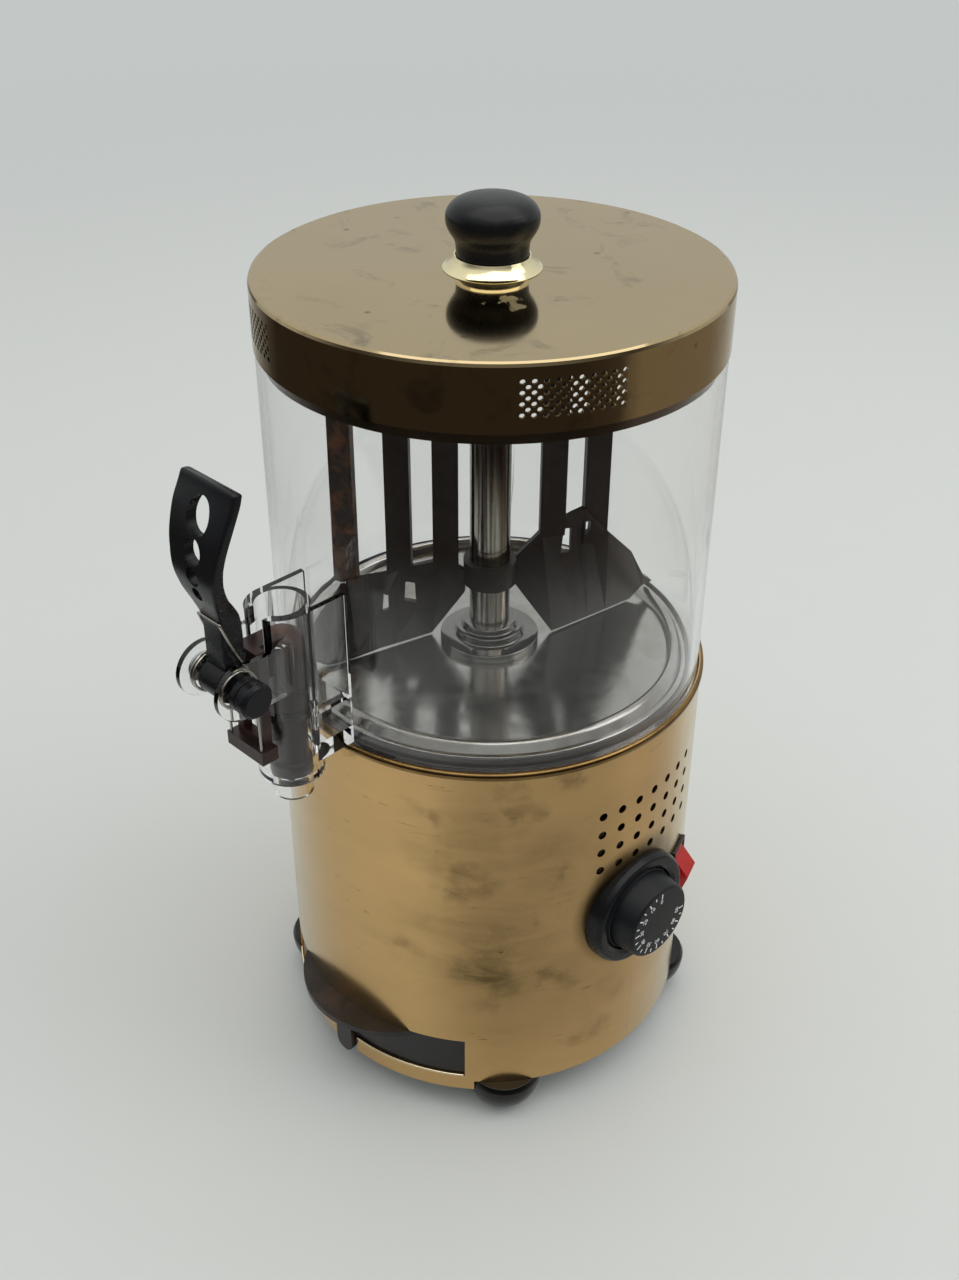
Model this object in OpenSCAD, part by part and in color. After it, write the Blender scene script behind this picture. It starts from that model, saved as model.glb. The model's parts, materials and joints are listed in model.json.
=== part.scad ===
// Hot chocolate dispenser: a steel drum with a heater and a geared stirrer drive,
// a clear bowl with a lever tap, and a vented lid. Front is -Y, the table is z = 0,
// and an azimuth is measured from the front towards +X.

/* [Base] */
// Outer radius of the base shell
base_r = 94.8; // [94.6:0.1:95.2]
// Thickness of the shell's sheet
base_wall = 1.2; // [1:0.1:1.3]
// Height of the rubber feet
foot_h = 20; // [19:0.5:21]
// Widest radius of a foot
foot_r = 17.5; // [16:0.5:18]
// Height of the shell's top edge
base_top = 202; // [201.8:0.1:202.4]
// Half of the angle that the front window spans
window_half = 38.4; // [30:0.2:39]

/* [Bowl] */
// Outer radius of the clear bowl
bowl_r = 93.2; // [93:0.1:93.3]
// Thickness of the bowl's wall
bowl_wall = 3; // [2.8:0.1:3]
// Height of the bowl's rim
bowl_top = 349; // [345:1:352]

/* [Lid] */
// Outer radius of the lid
lid_r = 93.8; // [93.4:0.1:95]
// Height of the lid's skirt
lid_h = 26.3; // [25:0.1:30]
// Radius of one vent hole in the lid
lid_vent_r = 1; // [0.8:0.1:1.2]
// Columns of vent holes in one lid panel
lid_vent_cols = 10; // [6:1:11]

/* [Stirrer] */
// Thickness of the stirrer's blades
blade_t = 2.6; // [2:0.1:3]
// Width of a stirrer bar
bar_w = 11; // [9:0.5:12]
// Radius of the polished centre tube
tube_r = 8.8; // [8.6:0.1:8.8]

/* [Tap] */
// Radius of the tap's piston
piston_r = 9.4; // [9.2:0.1:9.4]
// Outer radius of the tap's tube
tap_r = 13.5; // [13:0.1:14]
// Radius of the hinge pin
pin_r = 3; // [2.5:0.1:3]
// Radius of the return spring's wire
wire_r = 0.55; // [0.4:0.05:0.55]

/* [Control] */
// Radius of the dial's bezel ring
bezel_r = 27.6; // [26:0.2:28]
// Radius of the knob at its skirt
knob_r = 20; // [18:0.2:20]

/* [Hidden] */
$fn = 72;
eps = 1;

shell_in = base_r - base_wall;
plate_top = foot_h + 2.1;
window_z = [23.4, 46.5];
tab_half = 41;
tab_z = 14.8;
seat_z = 200.3;
pan_z = 206;
bowl_foot = seat_z + 0.95;
bowl_in = bowl_r - bowl_wall;
lid_z = bowl_top + 0.05;
lid_top = lid_z + lid_h;
foot_c = 83.5;
rod_c = 72;
rod_az = [65, 155, 245, 335];
foot_az = [50, -50, 130, -130];

dial_az = 88;
dial_z = 107.6;
switch_az = 111;
switch_z = 101;
switch_size = [15, 31];
switch_in = [for (v = switch_size) v / 2 - 1.3];
rocker_tilt = 10;
rocker_axis = 92;
barrel_r = 2.4;
switch_front = 88.6;
gland_z = 45;

// The motor pinion and the idler's small gear are alike; teeth times module is a pitch diameter
pinion_teeth = 12;
idler_teeth = 36;
output_teeth = 48;
gear_module = 1;
idler_at = [-30, 0];
motor_screw_x = 29.8;
motor_at = [-18, -20.785];
gear_z1 = 115;
gear_z2 = 123;
box_z = [108, 137];
box_mid = [-12, -3];
box_size = [88, 66];

tap_y = -114;
bore_r = piston_r + 0.2;
pivot = [-142.8, 252.4];
pin_gap = 0.06;
finger_r = 12;
finger_end = 2.5;
finger_rest = 22;
lift_bar_z = 250.95;
coil_r = 7.8;
coil_turns = 2;
coil_pitch = 1.55;
coil_x = 6.45;
neck_half = 5.8;
bail_z = 280.3;
bail_y = -145.7;

// Plan places of the stirrer's bars, the heading of each, and where it meets its blade
bars = [[-54, -36, 22, 227], [-29.5, -26, 32, 236], [-13, -14, 47, 241],
    [17.5, 20, 55, 257], [27.2, 36.7, 61, 251]];
stir_hub_z = [235.3, 246.5];
yoke_z = [334, 340];
tube_top = yoke_z[0] - 0.5;
// Top and bottom edges of the two blades, from the hub outwards
left_top = [[-7, -8.2, 241], [-13, -14, 247], [-29.5, -26, 240], [-54, -36, 228],
    [-50, -55, 221], [-43.5, -69, 215.5], [-38.5, -77, 212.9]];
left_low = [[-7, -8.2, 230.5], [-19.9, -16.5, 207.4], [-24, -35, 207.4], [-28.1, -53.4, 207.4],
    [-32.5, -66, 207.4], [-35.4, -71.5, 211.8], [-38, -77.5, 211.8]];
right_top = [[6, 9, 246], [15, 16, 260], [22, 27.5, 266.5], [26, 32, 269.3], [31, 41, 256],
    [29.5, 60, 238], [28, 73, 219], [26.6, 81, 212.9]];
right_low = [[6, 9, 233.5], [17.2, 21.9, 207.4], [19.4, 36, 207.4], [20.4, 42.5, 207.4],
    [22, 53, 207.4], [24.4, 68, 207.4], [25.3, 75.5, 211.8], [26.2, 81.4, 211.8]];

// ---- helpers -----------------------------------------------------------------

// Places children at an azimuth, built as if they faced the front
module facing(az) { rotate([0, 0, az]) children(); }

// A cylinder that points outwards, from distance d0 to distance d1 from the axis
module spoke(r, d0, d1, z) {
    translate([0, -d0, z]) rotate([90, 0, 0]) cylinder(h = d1 - d0, r = r);
}

// A ring round the z axis
module ring(r_out, r_in, z0, z1) {
    rotate_extrude() translate([r_in, z0]) square([r_out - r_in, z1 - z0]);
}

// A front wedge, half_az to each side, for cutting sectors
module wedge(half_az, z0, z1) {
    reach = 250;
    translate([0, 0, z0]) linear_extrude(z1 - z0)
        polygon([[0, 0], [-reach * sin(half_az), -reach * cos(half_az)],
            [reach * sin(half_az), -reach * cos(half_az)]]);
}

// A flat plate with rounded corners, centred
module rounded(size, r, h) {
    linear_extrude(h) {
        square([size[0], size[1] - 2 * r], center = true);
        square([size[0] - 2 * r, size[1]], center = true);
        for (x = [-1, 1], y = [-1, 1])
            translate([x * (size[0] / 2 - r), y * (size[1] / 2 - r)]) circle(r);
    }
}

// A cylinder along x, centred on the tap's middle plane
module across(r, half, y, z) {
    translate([-half, y, z]) rotate([0, 90, 0]) cylinder(h = 2 * half, r = r);
}

// One side of a strip of width w that follows plan points; side is 1 or -1
function strip_side(path, w, side) = [for (i = [0:len(path) - 1])
    let (d = unit(path[min(i + 1, len(path) - 1)] - path[max(i - 1, 0)]))
    path[i] + side * w / 2 * [-d[1], d[0]]];

// A screw that points up from z, with its head below
module screw_up(head_r, head_h, shank_r, shank_h) {
    cylinder(h = head_h, r = head_r);
    cylinder(h = head_h + shank_h, r = shank_r);
}

function unit(v) = v / norm(v);

// A closed skin over a row of rings that all have the same number of points
module skin(rings) {
    n = len(rings[0]);
    m = len(rings);
    polyhedron(
        points = [for (row = rings) each row],
        faces = concat(
            [for (i = [0:m - 2], j = [0:n - 1]) each [
                [i * n + j, (i + 1) * n + j, (i + 1) * n + (j + 1) % n],
                [i * n + j, (i + 1) * n + (j + 1) % n, i * n + (j + 1) % n]]],
            [for (j = [1:n - 2]) [0, j, j + 1]],
            [for (j = [1:n - 2]) [(m - 1) * n, (m - 1) * n + j + 1, (m - 1) * n + j]]));
}

// A ruled blade between its top and its bottom edge
function blade_normal(top, low, i) =
    let (a = max(i - 1, 0), b = min(i + 1, len(top) - 1))
    unit(cross(top[i] - low[i] + [0, 0, 0.5], top[b] + low[b] - top[a] - low[a]));
module blade(top, low) {
    m = len(top);
    polyhedron(
        points = [for (i = [0:m - 1]) each let (n = blade_normal(top, low, i) * blade_t / 2)
            [top[i] + n, top[i] - n, low[i] - n, low[i] + n]],
        faces = concat(
            [for (i = [0:m - 2]) each let (a = 4 * i, b = 4 * i + 4) [
                [a, b, b + 1], [a, b + 1, a + 1], [a + 1, b + 1, b + 2], [a + 1, b + 2, a + 2],
                [a + 2, b + 2, b + 3], [a + 2, b + 3, a + 3], [a + 3, b + 3, a], [b + 3, b, a]]],
            [[0, 1, 2], [0, 2, 3]],
            [[4 * m - 4, 4 * m - 2, 4 * m - 3], [4 * m - 4, 4 * m - 1, 4 * m - 2]]));
}

// Rings of a round wire along a path, each with a hint of which way its side faces
function wire_rings(path, hints, r, sides) = [for (i = [0:len(path) - 1])
    let (a = path[max(i - 1, 0)], b = path[min(i + 1, len(path) - 1)], t = unit(b - a),
        u = unit(hints[i] - (hints[i] * t) * t), v = cross(t, u))
    [for (k = [0:sides - 1]) path[i] + r * (cos(360 * k / sides) * u + sin(360 * k / sides) * v)]];

// Least distance between points of a wire that are more than half a turn apart
function least_gap(path, skip) = min([for (i = [0:len(path) - 1 - skip], j = [i + skip:len(path) - 1])
    norm(path[i] - path[j])]);

// ---- base ----------------------------------------------------------------------

module base_skin() {
    color("peru") difference() {
        union() {
            rotate_extrude() polygon([[shell_in, foot_h + 0.1], [base_r, foot_h + 0.1],
                [base_r, base_top - 1], [base_r - 0.5, base_top], [shell_in + 0.1, base_top],
                [shell_in, seat_z], [86, seat_z], [86, seat_z - 1.2], [shell_in, seat_z - 1.2]]);
            intersection() {
                ring(base_r, shell_in, tab_z, foot_h + 0.2);
                wedge(tab_half, tab_z, foot_h + 0.2);
            }
        }
        wedge(window_half, window_z[0], window_z[1]);
        translate([-6.35, -base_r - eps, tab_z - eps]) cube([12.7, 6, window_z[0] - tab_z + 2 * eps]);
        for (col = [-3:3], row = [0:3])
            facing(92.7 + 6 * col) spoke(2, shell_in - eps, base_r + eps, 139.6 + 9.87 * row);
        facing(dial_az) spoke(5.2, 85, base_r + eps, dial_z);
        facing(switch_az) translate([-switch_in[0] - 0.1, -base_r - eps, switch_z - switch_in[1] - 0.1])
            cube([2 * switch_in[0] + 0.2, 12, 2 * switch_in[1] + 0.2]);
        facing(180) spoke(8, 85, base_r + eps, gland_z);
    }
}

module base_plate() {
    color("silver") difference() {
        translate([0, 0, foot_h + 0.1]) cylinder(h = 2, r = shell_in - 0.1);
        for (az = foot_az) facing(az) translate([0, -foot_c, foot_h]) cylinder(h = 3, r = 2.6);
        for (az = rod_az) facing(az) translate([0, -rod_c, foot_h]) cylinder(h = 3, r = 2.1);
        for (x = [-1, 1]) translate([12 * x, -84, foot_h]) cylinder(h = 3, r = 2.1);
        translate([-6, -100, foot_h]) cube([12, 9.6, 3]);
    }
}

// A rubber ball that is cut flat below, with a recess for its screw's head
module foot(az) {
    sole_r = 7;
    head_r = 4.9;
    start = asin(sole_r / foot_r);
    color("black") difference() {
        facing(az) translate([0, -foot_c, 0]) rotate_extrude() polygon(concat([[head_r, 0]],
            [for (i = [0:7]) let (a = start + (90 - start) * i / 7)
                [foot_r * sin(a), foot_r * (cos(start) - cos(a))]],
            [[foot_r, foot_h - 3], [foot_r - 1, foot_h], [2.6, foot_h], [2.6, 9], [head_r, 9]]));
        intersection() {
            ring(base_r + 0.2, shell_in - 0.2, tab_z - 0.2, foot_h + eps);
            wedge(tab_half + 0.5, tab_z - 0.2, foot_h + eps);
        }
    }
}
module foot_front_right() { foot(foot_az[0]); }
module foot_front_left() { foot(foot_az[1]); }
module foot_rear_right() { foot(foot_az[2]); }
module foot_rear_left() { foot(foot_az[3]); }

module foot_screws() {
    color("gainsboro") for (az = foot_az) facing(az)
        translate([0, -foot_c, 5.5]) screw_up(4.5, 3.5, 2.5, 19);
}

module foot_nuts() {
    color("gainsboro") for (az = foot_az) facing(az) translate([0, -foot_c, plate_top])
        difference() {
            cylinder(h = 4, r = 4.6, $fn = 6);
            translate([0, 0, -eps]) cylinder(h = 6, r = 2.5);
        }
}

module tie_rods() {
    color("lightgray") for (az = rod_az) facing(az) difference() {
        translate([0, -rod_c, plate_top]) cylinder(h = 178, r = 3.5);
        translate([0, -rod_c, plate_top - eps]) cylinder(h = 12, r = 2);
        translate([0, -rod_c, plate_top + 168]) cylinder(h = 12, r = 2);
    }
}

module rod_screws() {
    color("gainsboro") for (az = rod_az) facing(az)
        translate([0, -rod_c, foot_h - 2.4]) screw_up(3.8, 2.5, 2, 11);
}

module tray_bracket() {
    ledge_z = [43.4, 46.4];
    color([0.13, 0.13, 0.13]) difference() {
        union() {
            intersection() {
                ring(shell_in - 0.1, shell_in - 2.3, plate_top, window_z[1] + 2);
                wedge(tab_half - 1, plate_top, window_z[1] + 2);
            }
            difference() {
                translate([0, -63, ledge_z[0]]) cylinder(h = ledge_z[1] - ledge_z[0], r = 44);
                translate([0, 0, ledge_z[0] - eps]) cylinder(h = 9, r = shell_in - 1);
            }
            translate([-5.2, -97, 18]) cube([10.4, 6, ledge_z[0] - 17]);
            translate([0, -91, 18.6]) rotate([90, 0, 0]) cylinder(h = 6, r = 5.2);
            intersection() {
                ring(shell_in - 2, 78, plate_top, plate_top + 2);
                wedge(13, plate_top, plate_top + 2);
            }
        }
        for (x = [-1, 1]) translate([12 * x, -84, plate_top - eps]) cylinder(h = 5, r = 2.1);
    }
}

module bracket_screws() {
    color("gainsboro") for (x = [-1, 1]) translate([12 * x, -84, plate_top + 4.4])
        mirror([0, 0, 1]) screw_up(3.8, 2.4, 2, 7);
}

module cable_gland() {
    color([0.1, 0.1, 0.1]) facing(180) difference() {
        union() {
            spoke(7.9, 84, 96, gland_z);
            spoke(11, base_r + 0.1, 99, gland_z);
            spoke(9, 98, 107, gland_z);
        }
        spoke(4, 83, 108, gland_z);
    }
}

module gland_nut() {
    color([0.12, 0.12, 0.12]) facing(180) translate([0, -87.5, gland_z]) rotate([90, 0, 0])
        difference() {
            cylinder(h = 4.5, r = 12, $fn = 6);
            translate([0, 0, -eps]) cylinder(h = 7, r = 7.9);
        }
}

module terminal_block() {
    color("ivory") difference() {
        translate([-24, 42, plate_top]) cube([48, 18, 15]);
        for (k = [-2:2]) translate([9 * k, 51, plate_top + 6]) cylinder(h = 12, r = 2.2);
    }
}

// ---- heated floor --------------------------------------------------------------

module floor_pan() {
    t = 1.2;
    bead = [82, pan_z + 1.6, 2.4];
    color("lightgray") difference() {
        union() {
            rotate_extrude() polygon(concat([[tube_r + 0.1, pan_z], [79, pan_z]],
                [for (a = [150:-20:30]) [bead[0] + bead[2] * cos(a), bead[1] + bead[2] * sin(a)]],
                [[86, pan_z], [88.4, pan_z - 0.4], [88.6, pan_z - 1], [88.6, seat_z + 0.05],
                    [88.6 - t, seat_z + 0.05], [88.6 - t, pan_z - t], [tube_r + 0.1, pan_z - t]]));
            for (az = rod_az) facing(az)
                translate([0, -rod_c, seat_z - 0.2]) cylinder(h = pan_z - seat_z, r = 6);
        }
        for (az = rod_az) facing(az)
            translate([0, -rod_c, seat_z - eps]) cylinder(h = 4, r = 2);
    }
}

module pan_seal() {
    color([0.2, 0.12, 0.08]) rotate_extrude() polygon([[88.65, seat_z + 0.05],
        [bowl_r - 0.1, seat_z + 0.05], [bowl_r - 0.1, bowl_foot - 0.1],
        [bowl_in - 0.3, bowl_foot - 0.1], [bowl_in - 0.3, 206.4], [89.3, 206.9], [88.65, 206.4]]);
}

module centre_collar() {
    color("gainsboro") rotate_extrude() polygon([[tube_r + 0.05, pan_z + 0.02],
        [21.8, pan_z + 0.02], [21.8, 209.2], [21.2, 209.7], [15.6, 209.9], [14.7, 210.4],
        [14.7, 213], [14.2, 213.5], [12.4, 213.7], [12, 214.2], [12, 216], [11.4, 216.6],
        [tube_r + 0.05, 216.6]]);
}

module centre_tube() {
    color("whitesmoke") ring(tube_r, 6.6, 188, tube_top);
}

module tube_nut() {
    color("gainsboro") difference() {
        translate([0, 0, 196]) cylinder(h = 8.7, r = 15, $fn = 6);
        translate([0, 0, 195]) cylinder(h = 12, r = tube_r);
    }
}

module lower_bush() { color("goldenrod") ring(6.58, 4.05, 188, 202); }
module upper_bush() { color("goldenrod") ring(6.58, 4.05, tube_top - 16.5, tube_top - 4.5); }
module shaft_seal() { color([0.15, 0.15, 0.15]) ring(6.58, 4.05, tube_top - 4.4, tube_top - 0.5); }

module heat_spreader() {
    color("silver") difference() {
        ring(62, 24, 200.4, pan_z - 1.25);
        facing(180) translate([0, -32, 199]) cylinder(h = 3, r = 1.6);
    }
}

module heating_element() {
    color([0.35, 0.33, 0.32]) {
        rotate([0, 0, 105]) rotate_extrude(angle = 330) translate([45, 196.3]) circle(4, $fn = 32);
        for (s = [-1, 1]) rotate([0, 0, 90 + 15 * s]) translate([45, 0, 178]) cylinder(h = 18.3, r = 4);
    }
}

module overheat_cutout() {
    color("tan") facing(180) translate([0, -32, 0]) {
        translate([0, 0, 188]) cylinder(h = 12.3, r = 7.5);
        translate([0, 0, 199]) cylinder(h = 2.8, r = 1.5);
        for (x = [-1, 1]) translate([3.5 * x - 0.4, -2.5, 180]) cube([0.8, 5, 9]);
    }
}

// ---- thermostat ------------------------------------------------------------------

module thermostat_body() {
    color("ivory") difference() {
        facing(dial_az) {
            translate([-16, -90, dial_z - 17]) cube([32, 26, 34]);
            spoke(5, 89, 97, dial_z);
        }
        facing(dial_az) spoke(3.05, 70, 98, dial_z);
    }
}

// The capillary runs from the thermostat up to the bulb under the pan
module thermostat_bulb() {
    route = [[72, 4, dial_z + 17], [72, 4, 160], [70, 42, 190], [70, 42, 201.5],
        [70, 33, 201.5]];
    color("darkgoldenrod") {
        for (i = [0:len(route) - 2]) {
            d = route[i + 1] - route[i];
            translate(route[i]) rotate([0, acos(d[2] / norm(d)), atan2(d[1], d[0])])
                cylinder(h = norm(d), r = 0.9, $fn = 16);
        }
        for (i = [1:len(route) - 2]) translate(route[i]) sphere(1.1, $fn = 16);
        translate([70, -2, 201.5]) rotate([-90, 0, 0]) cylinder(h = 36, r = 3);
    }
}

module thermostat_nut() {
    color("gainsboro") facing(dial_az) translate([0, -base_r - 0.1, dial_z]) rotate([90, 0, 0])
        difference() {
            cylinder(h = 2.1, r = 8, $fn = 6);
            translate([0, 0, -eps]) cylinder(h = 5, r = 5);
        }
}

module dial_bezel() {
    color([0.09, 0.09, 0.09]) difference() {
        facing(dial_az) difference() {
            union() {
                spoke(bezel_r, 85, 97.8, dial_z);
                translate([0, -97.8, dial_z]) rotate([90, 0, 0])
                    cylinder(h = 1.4, r1 = bezel_r, r2 = bezel_r - 1.6);
            }
            spoke(knob_r + 0.6, 84, 101, dial_z);
        }
        translate([0, 0, 60]) cylinder(h = 100, r = base_r + 0.05, $fn = 360);
    }
}

module thermostat_shaft() {
    color("lightgray") facing(dial_az) difference() {
        spoke(3, 72, 107, dial_z);
        translate([-4, -108, dial_z + 1.8]) cube([8, 9, 4]);
    }
}

module thermostat_knob() {
    face_r = 17.6;
    color([0.08, 0.08, 0.08]) facing(dial_az) difference() {
        union() {
            spoke(knob_r, 95.6, 97.6, dial_z);
            translate([0, -97.6, dial_z]) rotate([90, 0, 0])
                cylinder(h = 11, r1 = knob_r - 0.6, r2 = face_r + 0.4);
            translate([0, -108.6, dial_z]) rotate([90, 0, 0])
                cylinder(h = 1, r1 = face_r + 0.4, r2 = face_r - 0.6);
        }
        difference() {
            spoke(15, 95, 106.5, dial_z);
            spoke(6, 98.2, 107, dial_z);
        }
        difference() {
            spoke(3, 98, 107.4, dial_z);
            translate([-4, -108, dial_z + 1.85]) cube([8, 9, 4]);
        }
    }
}

// ---- switch ------------------------------------------------------------------------

module switch_frame() {
    color([0.2, 0.13, 0.1]) difference() {
        facing(switch_az) difference() {
            translate([-switch_size[0] / 2, -96.5, switch_z - switch_size[1] / 2])
                cube([switch_size[0], 8.5, switch_size[1]]);
            translate([-switch_in[0], -99, switch_z - switch_in[1]])
                cube([2 * switch_in[0], 12, 2 * switch_in[1]]);
        }
        translate([0, 0, 60]) cylinder(h = 100, r = base_r + 0.05, $fn = 360);
    }
}

module switch_body() {
    color([0.12, 0.12, 0.12]) facing(switch_az) difference() {
        union() {
            translate([-switch_in[0], -switch_front, switch_z - switch_in[1] + 0.1])
                cube([2 * switch_in[0], 17.2, 2 * switch_in[1] - 0.2]);
            for (s = [-1, 1]) translate([-switch_in[0], -96, switch_z + s * 13.7 - 0.4])
                cube([2 * switch_in[0], 96 - switch_front + eps, 0.8]);
            translate([-5.6, -90.3, switch_z - 4]) cube([11.2, 90.3 - switch_front + eps, 8]);
            for (z = [-8, 8]) translate([-2.4, -72, switch_z + z - 0.4]) cube([4.8, 9, 0.8]);
        }
        translate([-7, -rocker_axis, switch_z]) rotate([0, 90, 0]) cylinder(h = 14, r = barrel_r + 0.15);
    }
}

// The rocker rolls on a round barrel that lies in a groove of the switch body
module switch_rocker() {
    color("red") facing(switch_az) {
        translate([-5.9, -rocker_axis, switch_z]) rotate([-rocker_tilt, 0, 0]) rotate([90, 0, 90])
            linear_extrude(11.8) polygon([[0.6, -11.4], [-4.5, -12.4], [-10.4, -1.2], [-11, 0],
                [-10.4, 1.2], [-4.5, 12.4], [0.6, 11.4]]);
        translate([-5, -rocker_axis, switch_z]) rotate([0, 90, 0]) cylinder(h = 10, r = barrel_r);
    }
}

// ---- drive -----------------------------------------------------------------------

// One flank of an involute tooth, as polar angles at a radius
function involute(r, base) = r <= base ? 0 : sqrt(pow(r / base, 2) - 1) * 180 / PI - acos(base / r);

// An involute gear's outline, with a tooth centred on angle 0
function gear_points(teeth, play) =
    let (pitch = teeth * gear_module / 2, base = pitch * cos(20), tip = pitch + 0.9 * gear_module,
        root = pitch - 1.25 * gear_module,
        half = 90 / teeth - play / pitch * 90 / PI + involute(pitch, base),
        radii = [for (k = [0:2]) max(base, root) + (tip - max(base, root)) * k / 2])
    [for (n = [0:teeth - 1]) each let (mid = 360 * n / teeth) concat(
        [root * [cos(mid - half), sin(mid - half)]],
        [for (r = radii) let (a = mid - half + involute(r, base)) r * [cos(a), sin(a)]],
        [for (k = [2:-1:0]) let (r = radii[k], a = mid + half - involute(r, base)) r * [cos(a), sin(a)]],
        [root * [cos(mid + half), sin(mid + half)]])];

module gear(teeth, h, phase) {
    rotate([0, 0, phase]) linear_extrude(h) polygon(gear_points(teeth, 0.16));
}

module motor_can() {
    color("silver") translate([motor_at[0], motor_at[1], 0]) difference() {
        union() {
            translate([0, 0, 58]) cylinder(h = 48, r = 28);
            translate([0, 0, 105.2]) rounded([65, 13], 6, box_z[0] - 105.2);
        }
        translate([0, 0, 60]) cylinder(h = 43.5, r = 26.5);
        translate([0, 0, 100]) cylinder(h = 10, r = 7);
        for (x = [-1, 1]) translate([motor_screw_x * x, 0, 100]) cylinder(h = 10, r = 1.5);
    }
}

module motor_stator() {
    color("darkgoldenrod") translate([motor_at[0], motor_at[1], 0]) difference() {
        ring(26.4, 15.4, 66, 96);
        for (a = [0:30:330]) rotate([0, 0, a]) translate([20, 0, 65]) cylinder(h = 32, r = 2);
    }
}

module motor_rotor() {
    color("dimgray") translate([motor_at[0], motor_at[1], 0]) {
        translate([0, 0, 68]) cylinder(h = 26, r = 15);
        translate([0, 0, 60.4]) cylinder(h = gear_z1 + 6 - 60.4, r = 2.5);
        translate([0, 0, gear_z1]) gear(pinion_teeth, 6, 180 / pinion_teeth);
    }
}

module gearbox_housing() {
    color("slategray") difference() {
        translate([box_mid[0], box_mid[1], box_z[0]]) rounded(box_size, 8, box_z[1] - box_z[0]);
        translate([box_mid[0], box_mid[1], box_z[0] + 3])
            rounded(box_size - [5, 5], 5.5, box_z[1] - box_z[0]);
        translate([0, 0, box_z[0] - eps]) cylinder(h = 9, r = 4.05);
        translate([idler_at[0], idler_at[1], box_z[0] - eps]) cylinder(h = 9, r = 2);
        translate([motor_at[0], motor_at[1], box_z[0] - eps]) cylinder(h = 9, r = 4);
        for (x = [-1, 1]) translate([motor_at[0] + motor_screw_x * x, motor_at[1], box_z[0] - eps])
            cylinder(h = 9, r = 1.5);
        box_corners() translate([0, 0, box_z[0] - eps]) cylinder(h = 9, r = 1.6);
    }
}

// The four corners of the gearbox, where pillars and screws stand
module box_corners() {
    for (x = [-1, 1], y = [-1, 1])
        translate([box_mid[0] + x * 38.5, box_mid[1] + y * 27.5, 0]) children();
}

module gearbox_cover() {
    color("darkgray") difference() {
        union() {
            translate([box_mid[0], box_mid[1], box_z[1]]) rounded(box_size, 8, 3);
            translate([0, 0, box_z[1]]) cylinder(h = 8, r = 9);
        }
        translate([0, 0, box_z[1] - eps]) cylinder(h = 12, r = 4.05);
        translate([idler_at[0], idler_at[1], box_z[1] - eps]) cylinder(h = 5, r = 2);
        box_corners() translate([0, 0, box_z[1] - eps]) cylinder(h = 5, r = 1.6);
    }
}

module gearbox_pillars() {
    color("lightgray") box_corners() difference() {
        translate([0, 0, plate_top]) cylinder(h = box_z[0] - plate_top, r = 4);
        translate([0, 0, box_z[0] - 12]) cylinder(h = 14, r = 1.5);
    }
}

module gearbox_screws() {
    color("gainsboro") {
        box_corners() translate([0, 0, box_z[1] + 5.2])
            mirror([0, 0, 1]) screw_up(3, 2.2, 1.5, 42);
        for (x = [-1, 1]) translate([motor_at[0] + motor_screw_x * x, motor_at[1], box_z[0] + 4.8])
            mirror([0, 0, 1]) screw_up(2.6, 1.8, 1.5, 7);
    }
}

module idler_arbor() {
    color("lightgray") translate([idler_at[0], idler_at[1], box_z[0]])
        cylinder(h = box_z[1] - box_z[0] + 3, r = 2);
}

module idler_gear() {
    color("ivory") translate([idler_at[0], idler_at[1], 0]) difference() {
        union() {
            translate([0, 0, gear_z1]) gear(idler_teeth, 6, 0);
            translate([0, 0, gear_z1 + 5]) gear(pinion_teeth, 12, 180 / pinion_teeth);
        }
        translate([0, 0, gear_z1 - eps]) cylinder(h = 20, r = 2.05);
    }
}

module output_gear() {
    color("wheat") difference() {
        union() {
            translate([0, 0, gear_z2]) gear(output_teeth, 8, 0);
            translate([0, 0, gear_z2 - 9]) cylinder(h = 21, r = 8);
        }
        translate([0, 0, gear_z2 - 10]) cylinder(h = 24, r = 4);
        for (a = [0:60:300]) rotate([0, 0, a]) translate([15.5, 0, gear_z2 - eps])
            cylinder(h = 10, r = 3.5);
    }
}

module drive_shaft() {
    color("lightgray") {
        translate([0, 0, box_z[0]]) cylinder(h = yoke_z[0] - box_z[0], r = 4);
        translate([-2.7, -2.7, yoke_z[0] - 1]) cube([5.4, 5.4, 10]);
    }
}

// ---- stirrer -----------------------------------------------------------------------

// A small window through a blade, at its middle, wider below than above
module blade_window(p, heading, top_w, low_w, h) {
    translate(p) rotate([90, 0, heading]) linear_extrude(14, center = true)
        polygon([[-top_w / 2, h / 2], [top_w / 2, h / 2], [low_w / 2, -h / 2], [-low_w / 2, -h / 2]]);
}

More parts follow.
